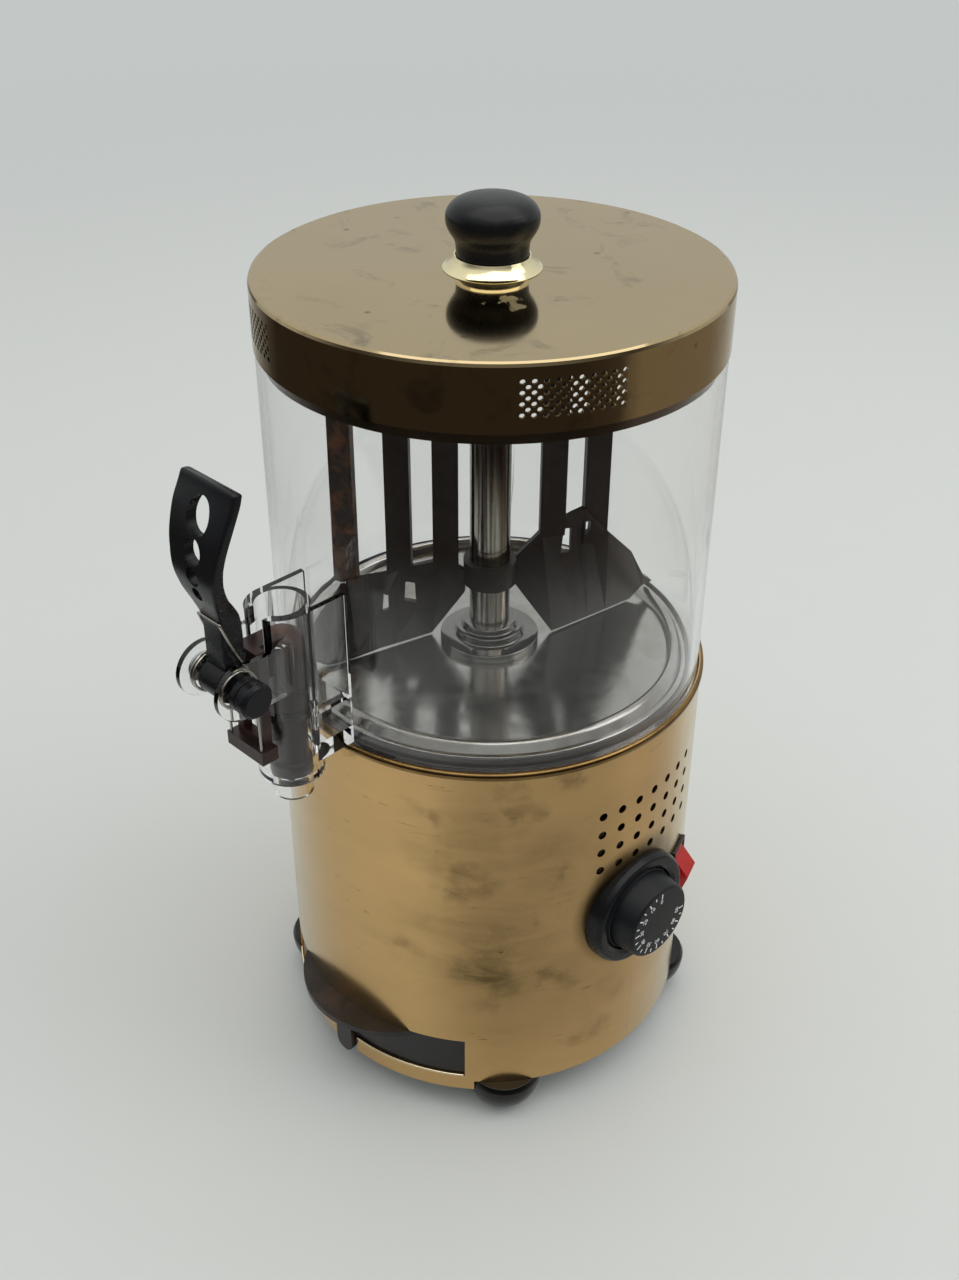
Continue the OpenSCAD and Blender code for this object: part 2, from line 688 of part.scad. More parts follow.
module stirrer() {
    cap_r = 10;
    places = [for (b = bars) [b[0], b[1]]];
    spine = concat([places[0] + [-5.5, -2.2]], [for (i = [0:2]) places[i]], [[0, 0]],
        [for (i = [3:4]) places[i]], [places[4] + [2.7, 4.8]]);
    left = strip_side(spine, 3.5, 1);
    right = strip_side(spine, 3.5, -1);
    color([0.16, 0.1, 0.08]) difference() {
        union() {
            blade(left_top, left_low);
            blade(right_top, right_low);
            translate([0, 0, stir_hub_z[0]]) cylinder(h = stir_hub_z[1] - stir_hub_z[0], r = 11.5);
            for (b = bars) translate([b[0], b[1], b[3]]) rotate([0, 0, b[2]]) {
                translate([-bar_w / 2, -1.75, 0]) cube([bar_w, 3.5, yoke_z[0] - 4 - b[3]]);
                translate([1 - bar_w / 2, -1.5, 0]) cube([bar_w - 2, 3, yoke_z[0] + 1 - b[3]]);
            }
            translate([0, 0, yoke_z[0]]) linear_extrude(yoke_z[1] - yoke_z[0])
                polygon(concat(left, [for (i = [len(right) - 1:-1:0]) right[i]]));
            translate([0, 0, yoke_z[0] + 0.1]) cylinder(h = 11, r1 = cap_r, r2 = cap_r - 1);
        }
        translate([0, 0, 228]) cylinder(h = stir_hub_z[1] - 227, r = tube_r + 0.08);
        translate([-2.7, -2.7, yoke_z[0] - eps]) cube([5.4, 5.4, 10]);
        blade_window([-31.3, -32.6, 227], 42, 2.2, 2.6, 6.8);
        blade_window([-24.1, -25, 231], 46, 4, 5.2, 8.2);
        blade_window([20, 26.6, 253], 60, 3.4, 4.7, 12.8);
        blade_window([25.4, 33.9, 259], 58, 2.4, 2.2, 6.1);
    }
}

// ---- bowl and tap --------------------------------------------------------------------

module bowl() {
    ear_in = 10.5;
    ear_out = 12.9;
    ear_r = 11.8;
    color([0.85, 0.92, 0.95, 0.35]) difference() {
        union() {
            ring(bowl_r, bowl_in, bowl_foot, bowl_top);
            difference() {
                translate([0, tap_y, 195]) cylinder(h = 78.5, r = tap_r);
                translate([0, 0, 190]) cylinder(h = 200, r = bowl_in);
            }
            difference() {
                translate([-tap_r, tap_y, 203]) cube([2 * tap_r, 30, 70.5]);
                translate([0, 0, 190]) cylinder(h = 200, r = bowl_in);
            }
            translate([0, tap_y, 184]) cylinder(h = 12, r = 8.3);
            for (s = [-1, 1]) translate([s * (ear_in + ear_out) / 2 - (ear_out - ear_in) / 2, 0, 0]) {
                translate([0, pivot[0], pivot[1] - 11.2]) cube([ear_out - ear_in, 24, 22]);
                translate([0, pivot[0], pivot[1]]) rotate([0, 90, 0])
                    cylinder(h = ear_out - ear_in, r = ear_r);
            }
        }
        translate([0, tap_y, 196]) cylinder(h = 90, r = bore_r);
        translate([0, tap_y, 180]) cylinder(h = 20, r = 6.6);
        translate([-6, tap_y, 208]) cube([12, 30, 14]);
        difference() {
            translate([-11, tap_y, 226]) cube([22, 26, 60]);
            translate([0, 0, 220]) cylinder(h = 70, r = bowl_r);
            translate([0, tap_y, 220]) cylinder(h = 70, r = bore_r + 2.4);
        }
        translate([-5.25, tap_y - 20, 248]) cube([10.5, 20, 40]);
        across(pin_r, 20, pivot[0], pivot[1]);
    }
}

module hinge_pin() {
    color([0.1, 0.1, 0.1]) {
        across(pin_r, 15, pivot[0], pivot[1]);
        translate([13, pivot[0], pivot[1]]) rotate([0, 90, 0]) {
            cylinder(h = 3, r = 7);
            cylinder(h = 8.2, r = 6.2);
            translate([0, 0, 3.6]) cylinder(h = 4, r = 7.2);
            translate([0, 0, 7.6]) cylinder(h = 1.4, r1 = 7.2, r2 = 5.8);
        }
    }
}

module pin_clip() {
    color("silver") translate([-14.1, pivot[0], pivot[1]]) rotate([0, 90, 0]) difference() {
        cylinder(h = 1.1, r = 6);
        translate([0, 0, -eps]) cylinder(h = 4, r = pin_r);
    }
}

// The lever's outline from the front and from the side, and its row of holes
lever_front = [[-neck_half, 252], [-neck_half, 279], [-6.7, 283], [-8, 286.5], [-10.3, 292],
    [-12.4, 303], [-14.5, 313], [-15.7, 321], [-15.8, 325], [-15.2, 329], [-13.6, 332],
    [-11, 333.4], [-6, 334]];
lever_side = [[-145, 256], [-145, 280], [-146.6, 285], [-149.4, 292.6], [-150.8, 300.9],
    [-148.9, 310.5], [-145.1, 322.7], [-140.2, 332.2], [-138.8, 334.1], [-137.6, 333.6],
    [-138.9, 329], [-142.4, 321.4], [-145.7, 310], [-145.9, 300], [-143.2, 292], [-139, 286],
    [-135.4, 280], [-135.2, 262], [-137, 256]];
lever_holes = [[6, 7, 322.7], [4.6, 5, 310.5], [3.5, 3.5, 300.9], [2.6, 2.6, 292.6]];

module lever() {
    tip_y = pivot[0] + finger_r * cos(finger_rest);
    tip_z = pivot[1] - finger_r * sin(finger_rest);
    color([0.11, 0.11, 0.11]) difference() {
        union() {
            intersection() {
                translate([0, -120, 0]) rotate([90, 0, 0]) linear_extrude(40)
                    polygon(concat(lever_front,
                        [for (i = [len(lever_front) - 1:-1:0]) [-lever_front[i][0], lever_front[i][1]]]));
                translate([-20, 0, 0]) rotate([90, 0, 90]) linear_extrude(40) polygon(lever_side);
            }
            across(7, 5.5, pivot[0], pivot[1]);
            across(finger_end, 4, tip_y, tip_z);
            translate([-4, pivot[0], pivot[1]]) rotate([-finger_rest, 0, 0])
                translate([0, 0, 0.2 - finger_end]) cube([8, finger_r, 2 * finger_end - 0.4]);
        }
        across(pin_r + pin_gap, 10, pivot[0], pivot[1]);
        for (h = lever_holes, dz = h[0] == h[1] ? [0] : [h[0] - h[1], h[1] - h[0]])
            translate([0, -130, h[2] + dz]) rotate([90, 0, 0]) cylinder(h = 25, r = h[0]);
    }
}

// The spring's route: left coil, up one side of the neck, over its front, and back down
coil_steps = 8 * coil_turns;
right_coil = [for (k = [0:coil_steps]) let (a = 360 * k / 8)
    [coil_x + coil_pitch * k / 8, pivot[0] + coil_r * cos(a), pivot[1] - coil_r * sin(a)]];
right_leg = [[6.5, -145.4, 279.2], [6.5, -142, 270], [6.5, -138.4, 262], [6.5, -135.4, 256]];
right_half = concat([[0, bail_y, bail_z], [3, bail_y, bail_z], [5.9, bail_y, bail_z]],
    right_leg, right_coil);
right_hints = concat([for (p = [0:6]) [0, 1, 0]],
    [for (k = [0:coil_steps]) let (a = 360 * k / 8) [0, cos(a), -sin(a)]]);
spring_path = concat([for (i = [len(right_half) - 1:-1:1]) [-right_half[i][0], right_half[i][1],
    right_half[i][2]]], right_half);
spring_hints = concat([for (i = [len(right_half) - 1:-1:1]) right_hints[i]], right_hints);

module return_spring() {
    color("silver") skin(wire_rings(spring_path, spring_hints, wire_r, 6));
    echo(spring_gap = least_gap(right_coil, 5) - 2 * wire_r);
}

module tap_piston() {
    color([0.22, 0.14, 0.12]) {
        difference() {
            union() {
                translate([0, tap_y, 0]) rotate_extrude() polygon([[0, 191.5], [5.4, 191.5],
                    [6.2, 192.5], [6.2, 196.3], [8.6, 196.3], [9, 199], [9, 202], [7.4, 203],
                    [7.4, 223], [piston_r, 224], [piston_r, 255], [8.8, 258], [7.2, 260.4],
                    [4.6, 262], [0, 262.6]]);
                translate([-4.5, -132.5, lift_bar_z]) cube([9, 16, 262 - lift_bar_z]);
                translate([-8, -132.5, 213]) cube([16, 4.2, 49]);
                translate([-11, -136, 213]) cube([22, 7.7, 6]);
            }
            translate([-4.5, -133, 222]) cube([9, 5, lift_bar_z - 222]);
            for (z = [228, 238]) translate([0, tap_y, z - 1.2]) rotate_extrude()
                translate([piston_r - 1.4, 0]) square([2, 2.4]);
        }
    }
}

module piston_rings() {
    color([0.08, 0.08, 0.08]) for (z = [228, 238])
        translate([0, tap_y, z]) rotate_extrude() translate([piston_r - 1.25, -1.15])
            square([1.35, 2.3]);
}

module spring_legs() {
    color("silver") for (s = [-1, 1]) translate([9.4 * s, -134.9, 219])
        cylinder(h = 25, r = wire_r);
}

// ---- lid -------------------------------------------------------------------------------

module lid_vents() {
    pitch_az = 2.54;
    row_z = 4.15;
    for (panel = [-28, 62, 152, 242], row = [0:6], col = [0:lid_vent_cols - 1])
        if (row % 2 == 0 || col < lid_vent_cols - 1)
            facing(panel + pitch_az * (col - (lid_vent_cols - 1) / 2 + (row % 2) / 2))
                spoke(lid_vent_r, lid_r - 5, lid_r + eps, lid_z + 6.9 + row * row_z / 2);
}

module lid() {
    t = 1.3;
    color([0.55, 0.5, 0.38]) difference() {
        rotate_extrude() polygon([[3.2, lid_top], [lid_r - 1.6, lid_top],
            [lid_r - 0.5, lid_top - 0.5], [lid_r, lid_top - 1.6], [lid_r, lid_z],
            [lid_r - t, lid_z], [lid_r - t, lid_top - t - 0.8], [lid_r - t - 0.8, lid_top - t],
            [3.2, lid_top - t]]);
        lid_vents();
    }
}

module lid_ring() {
    color("silver") rotate_extrude() polygon([[88.4, bowl_top - 5], [89.4, bowl_top - 5],
        [89.4, lid_z], [lid_r - 1.35, lid_z], [lid_r - 1.35, lid_z + 1.2], [88.4, lid_z + 1.2]]);
}

module lid_ferrule() {
    color("goldenrod") rotate_extrude() polygon([[3.2, lid_top], [17.3, lid_top],
        [17.3, lid_top + 0.5], [15.9, lid_top + 1.4], [15, lid_top + 2.6], [14.7, lid_top + 3.6],
        [14.35, lid_top + 3.6], [14.35, lid_top + 1.4], [3.2, lid_top + 1.4]]);
}

module lid_knob() {
    color([0.08, 0.08, 0.09]) difference() {
        translate([0, 0, lid_top]) rotate_extrude() polygon(concat([[0, 1.45], [12.6, 1.45],
            [14.1, 3], [14.3, 8.5], [15, 11.2], [16.7, 14]],
            [for (a = [-20:18:88]) [18.2 * cos(a), 19.2 + 8.5 * sin(a)]], [[0, 27.7]]));
        translate([0, 0, lid_top]) cylinder(h = 14, r = 2);
    }
}

module lid_screw() {
    color("gainsboro") translate([0, 0, lid_top - 3.8]) screw_up(5, 2.4, 2, 13);
}

// ---- what is drawn -----------------------------------------------------------------------

base_skin();
base_plate();
foot_front_right();
foot_front_left();
foot_rear_right();
foot_rear_left();
foot_screws();
foot_nuts();
tie_rods();
rod_screws();
tray_bracket();
bracket_screws();
cable_gland();
gland_nut();
terminal_block();
floor_pan();
pan_seal();
centre_collar();
centre_tube();
tube_nut();
lower_bush();
upper_bush();
shaft_seal();
heat_spreader();
heating_element();
overheat_cutout();
thermostat_body();
thermostat_bulb();
thermostat_nut();
dial_bezel();
thermostat_shaft();
thermostat_knob();
switch_frame();
switch_body();
switch_rocker();
motor_can();
motor_stator();
motor_rotor();
gearbox_housing();
gearbox_cover();
gearbox_pillars();
gearbox_screws();
idler_arbor();
idler_gear();
output_gear();
drive_shaft();
stirrer();
bowl();
hinge_pin();
pin_clip();
lever();
return_spring();
tap_piston();
piston_rings();
spring_legs();
lid();
lid_ring();
lid_ferrule();
lid_knob();
lid_screw();
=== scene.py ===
"""Dresses the hot chocolate dispenser: smooth turned and moulded pieces, real finishes and a soft studio.

Lengths are in millimetres until they go into a mesh or a shader, and the stage's are in metres. x is
across, y runs from the front (negative) to the back, z is up. An azimuth is measured in degrees from the
front towards +x.
"""

import json
import math

import bmesh
import bpy
import numpy as np
from bpy.props import FloatProperty, FloatVectorProperty, PointerProperty
from mathutils import Matrix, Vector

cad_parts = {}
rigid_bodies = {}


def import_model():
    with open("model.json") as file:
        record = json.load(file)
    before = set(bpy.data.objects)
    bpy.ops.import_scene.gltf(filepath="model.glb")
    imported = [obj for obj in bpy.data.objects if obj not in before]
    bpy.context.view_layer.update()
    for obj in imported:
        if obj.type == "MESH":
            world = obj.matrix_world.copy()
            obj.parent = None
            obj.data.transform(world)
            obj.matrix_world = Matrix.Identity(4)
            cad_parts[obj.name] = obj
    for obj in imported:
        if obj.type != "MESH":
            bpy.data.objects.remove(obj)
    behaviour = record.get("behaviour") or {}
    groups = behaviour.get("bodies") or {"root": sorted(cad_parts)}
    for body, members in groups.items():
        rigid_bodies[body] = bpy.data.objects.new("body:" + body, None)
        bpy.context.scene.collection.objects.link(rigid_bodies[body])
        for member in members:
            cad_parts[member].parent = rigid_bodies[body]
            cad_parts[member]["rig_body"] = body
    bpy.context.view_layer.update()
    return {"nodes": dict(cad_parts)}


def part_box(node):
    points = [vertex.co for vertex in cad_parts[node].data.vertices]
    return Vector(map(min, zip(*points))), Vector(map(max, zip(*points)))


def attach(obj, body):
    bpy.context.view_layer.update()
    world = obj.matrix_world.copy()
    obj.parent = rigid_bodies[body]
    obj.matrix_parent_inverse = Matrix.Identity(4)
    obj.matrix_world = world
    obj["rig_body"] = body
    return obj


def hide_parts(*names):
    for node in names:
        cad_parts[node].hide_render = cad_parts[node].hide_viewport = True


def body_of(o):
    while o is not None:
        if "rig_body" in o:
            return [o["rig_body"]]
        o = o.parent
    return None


bl_info = {
    "name": "Hot chocolate dispenser",
    "version": (1, 0, 0),
    "blender": (4, 5, 0),
    "location": "View3D > Sidebar > Dispenser",
    "description": "Builds a hot chocolate dispenser with a clear bowl, a stirrer and a lever tap",
    "category": "Add Mesh",
}

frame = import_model()
SLOT_OF = {name: node.material_slots[0].material.name for name, node in frame["nodes"].items()}
FINISH = {}  # filled by the finishes step
MM = 0.001
UP = np.array([0.0, 0.0, 1.0])
BACKDROP = "c3c7c6"
CAMERA_AZIMUTH = 44.6
TOWARDS = (math.sin(math.radians(CAMERA_AZIMUTH)), -math.cos(math.radians(CAMERA_AZIMUTH)), 0)
DIAL_AZIMUTH = 88


# ---- colours and places ---------------------------------------------------------------------

def linear(hex_colour):
    """Linear light of an sRGB colour that is written as six hex digits."""
    srgb = np.array([int(hex_colour[i:i + 2], 16) / 255 for i in (0, 2, 4)])
    light = np.where(srgb <= 0.04045, srgb / 12.92, ((srgb + 0.055) / 1.055) ** 2.4)
    return (*light.tolist(), 1.0)


def toned(shade, factor):
    """A colour made darker or lighter, and held below white."""
    return tuple(min(1, c * factor) for c in shade[:3]) + (1,)


def box_mm(node):
    """Lowest and highest corner of a CAD node at rest, in millimetres."""
    return [np.array(corner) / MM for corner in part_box(node)]


def outward(azimuth):
    """Unit vectors outwards and across (to the right as seen from outside) at an azimuth."""
    turn = math.radians(azimuth)
    return np.array([math.sin(turn), -math.cos(turn), 0]), np.array([math.cos(turn), math.sin(turn), 0])


def spot(azimuth, radius, height):
    """A place about the drum's axis, in metres."""
    return (outward(azimuth)[0] * radius + UP * height) * MM


# ---- user settings --------------------------------------------------------------------------

def length(label, about, default_mm):
    """A length property in metres whose default is given in millimetres."""
    return FloatProperty(name=label, description=about, default=default_mm * MM, min=0,
                         unit="LENGTH", precision=5)


def colour(label, about, hex_colour):
    """A colour property whose default is given in sRGB hex."""
    return FloatVectorProperty(name=label, description=about, default=linear(hex_colour), size=4,
                               min=0, max=1, subtype="COLOR")


class DispenserSizes(bpy.types.PropertyGroup):
    """Sizes of what is shaped here."""
    edge: length("Moulded edge", "Radius on the edges of moulded pieces", 0.45)
    wire: length("Spring wire", "Diameter of the return spring's wire", 1.1)
    coil: length("Spring coil", "Radius of the return spring's coils", 7.8)
    tick: length("Tick", "Length of a mark on the dial", 2.8)
    number: length("Number", "Height of the numbers on the dial", 3.1)
    print_height: length("Print", "How far the dial's print stands proud", 0.05)


class DispenserColours(bpy.types.PropertyGroup):
    """Colours of the main finishes."""
    drum: colour("Drum", "Copper-gold coated steel of the base", "d3ae78")
    # this colour also paints the dark reflection of the bezel round the dial
    drum_stain: colour("Drum stain", "Greenish brown of the heat stains on the base", "6a5a38")
    lid: colour("Lid", "Pale bronze coated steel of the lid", "b5a27c")
    steel: colour("Steel", "Polished stainless steel", "c9c7c2")
    stirrer: colour("Stirrer", "Dark brown moulded plastic", "2b211d")
    stirrer_stain: colour("Stirrer stain", "Orange-brown stain on the outer bar", "8a5836")
    switch: colour("Switch", "Red translucent rocker", "e01208")
    floor: colour("Floor", "Pale seamless paper", "d6d9d7")


# ---- meshes -----------------------------------------------------------------------------------

def closed_mesh(name, vertices, faces, slivers=False):
    """A mesh from millimetre points: doubles merged, slivers dissolved if asked, and faces outwards."""
    mesh = bpy.data.meshes.new(name)
    mesh.from_pydata(np.asarray(vertices, float) * MM, [], faces)
    work = bmesh.new()
    work.from_mesh(mesh)
    bmesh.ops.remove_doubles(work, verts=work.verts, dist=1e-7)
    if slivers:
        bmesh.ops.dissolve_degenerate(work, edges=work.edges, dist=1e-8)
    bmesh.ops.recalc_face_normals(work, faces=work.faces)
    work.to_mesh(mesh)
    work.free()
    return mesh


def linked(name, data):
    """A new object in the scene."""
    made = bpy.data.objects.new(name, data)
    bpy.context.collection.objects.link(made)
    return made


def smooth(mesh, sharp):
    """Smooth shading that leaves the edges crisp where they are sharper than an angle in degrees."""
    mesh.shade_smooth()
    mesh.set_sharp_from_angle(angle=math.radians(sharp))


def round_edges(piece, radius, segments, angle):
    """Bevels each edge of a piece that is sharper than an angle in degrees."""
    edges = piece.modifiers.new("soft edges", "BEVEL")
    edges.width, edges.segments, edges.limit_method = radius, segments, "ANGLE"
    edges.angle_limit, edges.harden_normals = math.radians(angle), True


def to_object(name, vertices, faces, body, slot, finish=None, replaces=(), sharp=38):
    """Makes a closed, smooth piece from millimetre points. It rides on a body, may replace CAD nodes, and
    has the finish of its slot if no other is named."""
    mesh = closed_mesh(name, vertices, faces, slivers=True)
    smooth(mesh, sharp)
    mesh.materials.append(FINISH[finish or slot])
    piece = linked(name, mesh)
    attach(piece, body)
    if replaces:
        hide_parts(*replaces)
    return piece


def grid_faces(rows, cols, closed=False):
    """Quads between neighbouring points of rows x cols points, numbered row by row. Each row runs round,
    and so do the columns if closed."""
    i, j = np.meshgrid(np.arange(rows if closed else rows - 1), np.arange(cols), indexing="ij")
    i, j = i.ravel(), j.ravel()
    down, right = (i + 1) % rows, (j + 1) % cols
    return np.stack([i * cols + j, i * cols + right, down * cols + right, down * cols + j], 1).tolist()


def sleeve(rows, cols):
    """Faces of a tube of rows x cols points that is closed by its first and its last row."""
    last = (rows - 1) * cols
    return grid_faces(rows, cols) + [list(range(cols)), list(range(last, last + cols))]


def circle(steps):
    """Cosines and sines at equal steps once round."""
    angle = np.linspace(0, 2 * math.pi, steps, endpoint=False)
    return np.cos(angle), np.sin(angle)


def fillet(corners, steps=5):
    """Rounds a polyline of (r, z, radius) corners: at each, a circle arc of that radius that touches
    both sides. The arc's centre lies radius / sin(half angle) along the bisector."""
    corners = np.array(corners, float)
    done = [corners[0, :2][None]]
    for before, here, after in zip(corners, corners[1:], corners[2:]):
        a, b = before[:2] - here[:2], after[:2] - here[:2]
        a, b = a / np.linalg.norm(a), b / np.linalg.norm(b)
        half = math.acos(np.clip(a @ b, -1, 1)) / 2
        if here[2] <= 0 or half > math.radians(89):
            done.append(here[:2][None])
            continue
        middle = (a + b) / np.linalg.norm(a + b) * here[2] / math.sin(half) + here[:2]
        reach = here[2] / math.tan(half)
        start, stop = here[:2] + a * reach - middle, here[:2] + b * reach - middle
        sweep = math.pi - 2 * half
        t = np.linspace(0, 1, steps)[:, None]
        done.append(middle + (np.sin((1 - t) * sweep) * start + np.sin(t * sweep) * stop)
                    / math.sin(sweep))
    return np.concatenate(done + [corners[-1, :2][None]])


def spline(points, steps):
    """Smooth curve through points (Catmull-Rom): between two points p1 and p2 with neighbours p0 and p3,
    0.5 (2 p1 + (p2 - p0) t + (2 p0 - 5 p1 + 4 p2 - p3) t^2 + (3 p1 - p0 - 3 p2 + p3) t^3)."""
    points = np.array(points, float)
    padded = np.concatenate([2 * points[:1] - points[1:2], points, 2 * points[-1:] - points[-2:-1]])
    p0, p1, p2, p3 = (padded[k:len(padded) - 3 + k, None] for k in range(4))
    t = np.linspace(0, 1, steps, endpoint=False)[None, :, None]
    curve = 0.5 * (2 * p1 + (p2 - p0) * t + (2 * p0 - 5 * p1 + 4 * p2 - p3) * t ** 2
                   + (3 * p1 - p0 - 3 * p2 + p3) * t ** 3)
    return np.concatenate([curve.reshape(-1, points.shape[1]), points[-1:]])


def lathe(name, profile, body, slot, steps=128, centre=(0, 0), closed=False, **more):
    """A piece turned about a vertical axis: (r cos a, r sin a, z) for each point of its profile. A closed
    profile makes a ring, and an open one runs from the axis to the axis."""
    cos, sin = circle(steps)
    r, z = np.asarray(profile, float).T
    points = np.stack([centre[0] + np.outer(r, cos), centre[1] + np.outer(r, sin),
                       np.repeat(z[:, None], steps, 1)], 2)
    return to_object(name, points.reshape(-1, 3), grid_faces(len(profile), steps, closed), body, slot,
                     **more)


def spigot(profile, height, steps):
    """Points of a shape turned about the dial's level axis: a profile point is (r, distance from the
    drum's axis), and lies at outwards * distance + across * r cos a + up * r sin a."""
    out, across = outward(DIAL_AZIMUTH)
    cos, sin = circle(steps)
    r, d = np.asarray(profile, float).T
    return (d[:, None, None] * out + (r[:, None] * cos)[..., None] * across
            + (r[:, None] * sin)[..., None] * UP + UP * height)


def tube(path, hints, radius, sides=14):
    """Round wire along a path: at each point a circle in the plane square to the path, whose first
    direction is the hint with its part along the path taken away."""
    along = np.gradient(path, axis=0)
    along /= np.linalg.norm(along, axis=1, keepdims=True)
    side = hints - (hints * along).sum(1, keepdims=True) * along
    side /= np.linalg.norm(side, axis=1, keepdims=True)
    beside = np.cross(along, side)
    cos, sin = circle(sides)
    ring = path[:, None] + radius * (cos[None, :, None] * side[:, None]
                                     + sin[None, :, None] * beside[:, None])
    return ring.reshape(-1, 3), sleeve(len(path), sides)


def cad_mesh(node):
    """The points, in millimetres, and the faces of a CAD node."""
    mesh = frame["nodes"][node].data
    points = np.empty(len(mesh.vertices) * 3)
    mesh.vertices.foreach_get("co", points)
    return points.reshape(-1, 3) / MM, [list(face.vertices) for face in mesh.polygons]


def tool(points, faces):
    """A closed shape that cuts or joins a piece and rides on nothing."""
    return linked("tool", closed_mesh("tool", points, faces))


def shape(piece, *steps):
    """Cuts or joins a piece with tools, each a (tool, operation), then throws the tools away."""
    for other, operation in steps:
        cut = piece.modifiers.new("cut", "BOOLEAN")
        cut.object, cut.operation, cut.solver = other, operation, "EXACT"
    bpy.context.view_layer.update()
    made = bpy.data.meshes.new_from_object(piece.evaluated_get(bpy.context.evaluated_depsgraph_get()))
    materials = list(piece.data.materials)
    piece.modifiers.clear()
    piece.data = made
    made.materials.clear()
    for material in materials:
        made.materials.append(material)
    for other, operation in steps:
        bpy.data.objects.remove(other)


def softened(node, radius, segments=2, angle=32, finish=None):
    """A copy of a CAD node with rounded edges: its triangles merged, flat ones joined, and a bevel on
    every edge sharper than the angle. It replaces the node and rides on its body."""
    piece = to_object(node + "_moulded", *cad_mesh(node), body_of(frame["nodes"][node])[0],
                      SLOT_OF[node], finish, replaces=(node,))
    work = bmesh.new()
    work.from_mesh(piece.data)
    bmesh.ops.dissolve_limit(work, angle_limit=math.radians(0.4), verts=work.verts, edges=work.edges)
    work.to_mesh(piece.data)
    work.free()
    round_edges(piece, radius, segments, angle)


# ---- shader nodes -----------------------------------------------------------------------------

def feed(tree, node, **values):
    """Gives a shader node its values. A capitalised name is an input, with _ for a space or In0 for the
    first, and takes a number or a link; stops fills a colour ramp, with colours or hex digits; any other
    name is a setting."""
    for name, value in values.items():
        if name == "stops":
            band = node.color_ramp.elements
            while len(band) < len(value):
                band.new(0.5)
            for element, (position, shade) in zip(band, value):
                element.position = position
                element.color = linear(shade) if isinstance(shade, str) else shade
        elif not name[0].isupper():
            setattr(node, name, value)
    for name, value in values.items():
        if not name[0].isupper():
            continue
        numbered = name[:2] == "In" and name[2:].isdigit()
        socket = node.inputs[int(name[2:]) if numbered else name.replace("_", " ")]
        if isinstance(value, bpy.types.NodeSocket):
            tree.links.new(value, socket)
        else:
            socket.default_value = value
    return node


def add(tree, kind, **values):
    """Adds one shader node and gives it its values."""
    return feed(tree, tree.nodes.new("ShaderNode" + kind), **values)


def noise(tree, where, size, detail, output="Fac", **more):
    """Noise whose features are about so many millimetres apart."""
    return add(tree, "TexNoise", Vector=where, Scale=1 / (size * MM), Detail=detail,
               **more).outputs[output]


def cells(tree, where, size):
    """Distance to the nearest of dots that are about so many millimetres apart."""
    return add(tree, "TexVoronoi", Vector=where, Scale=1 / (size * MM)).outputs["Distance"]


def remap(tree, value, start, stop, low=0.0, high=1.0, kind="LINEAR"):
    """A value's range from start to stop, brought to low to high and held there."""
    return add(tree, "MapRange", interpolation_type=kind, Value=value, From_Min=start, From_Max=stop,
               To_Min=low, To_Max=high).outputs[0]


def ease(tree, value, start, stop, low=0.0, high=1.0):
    """The same, with a soft start and stop."""
    return remap(tree, value, start, stop, low, high, "SMOOTHSTEP")


def mix(tree, share, first, second, **more):
    """The first colour with a share of the second."""
    return add(tree, "MixRGB", Fac=share, Color1=first, Color2=second, **more).outputs[0]


def calc(tree, operation, *values, **more):
    """Arithmetic on numbers."""
    inputs = {f"In{k}": value for k, value in enumerate(values)}
    return add(tree, "Math", operation=operation, **inputs, **more).outputs[0]


def vector(tree, operation, *values):
    """Arithmetic on places."""
    inputs = {f"In{k}": value for k, value in enumerate(values)}
    output = "Value" if operation in ("DISTANCE", "LENGTH", "DOT_PRODUCT") else "Vector"
    return add(tree, "VectorMath", operation=operation, **inputs).outputs[output]


def bump(tree, strength, depth, height):
    """Relief so many millimetres deep."""
    return add(tree, "Bump", Strength=strength, Distance=depth * MM, Height=height).outputs[0]


def mapped(tree, where, rotation, scale):
    """Places turned and stretched."""
    return add(tree, "Mapping", Vector=where, Rotation=rotation, Scale=scale).outputs[0]


def blank(name):
    """A material with one Principled shader, and the object's own coordinates in metres."""
    material = bpy.data.materials.new(name)
    material.use_nodes = True
    tree = material.node_tree
    tree.nodes.clear()
    shader = add(tree, "BsdfPrincipled")
    add(tree, "OutputMaterial", Surface=shader.outputs[0])
    return material, tree, shader, add(tree, "TexCoord").outputs["Object"]


# ---- finishes ---------------------------------------------------------------------------------

def plain(name, hex_colour, metallic=0, roughness=0.5, grain=1.2, depth=0.04, mottle=0.12, shine=0.5):
    """Finish of a machined or moulded piece: one colour, slightly mottled, with a fine grain in gloss
    and relief. The grain is drawn at about a millimetre so that it shows, and shine scales how strongly
    a surface that isn't metal mirrors."""
    material, tree, shader, place = blank(name)
    shade = linear(hex_colour)
    cloud = noise(tree, place, 9, 4)
    fine = noise(tree, place, grain, 3)
    feed(tree, shader, Metallic=metallic, Specular_IOR_Level=shine, Normal=bump(tree, 0.25, depth, fine),
         Base_Color=mix(tree, cloud, toned(shade, 1 - 2 * mottle), toned(shade, 1 + mottle)),
         Roughness=remap(tree, fine, 0, 1, roughness * 0.8, min(1, roughness * 1.25)))
    return material


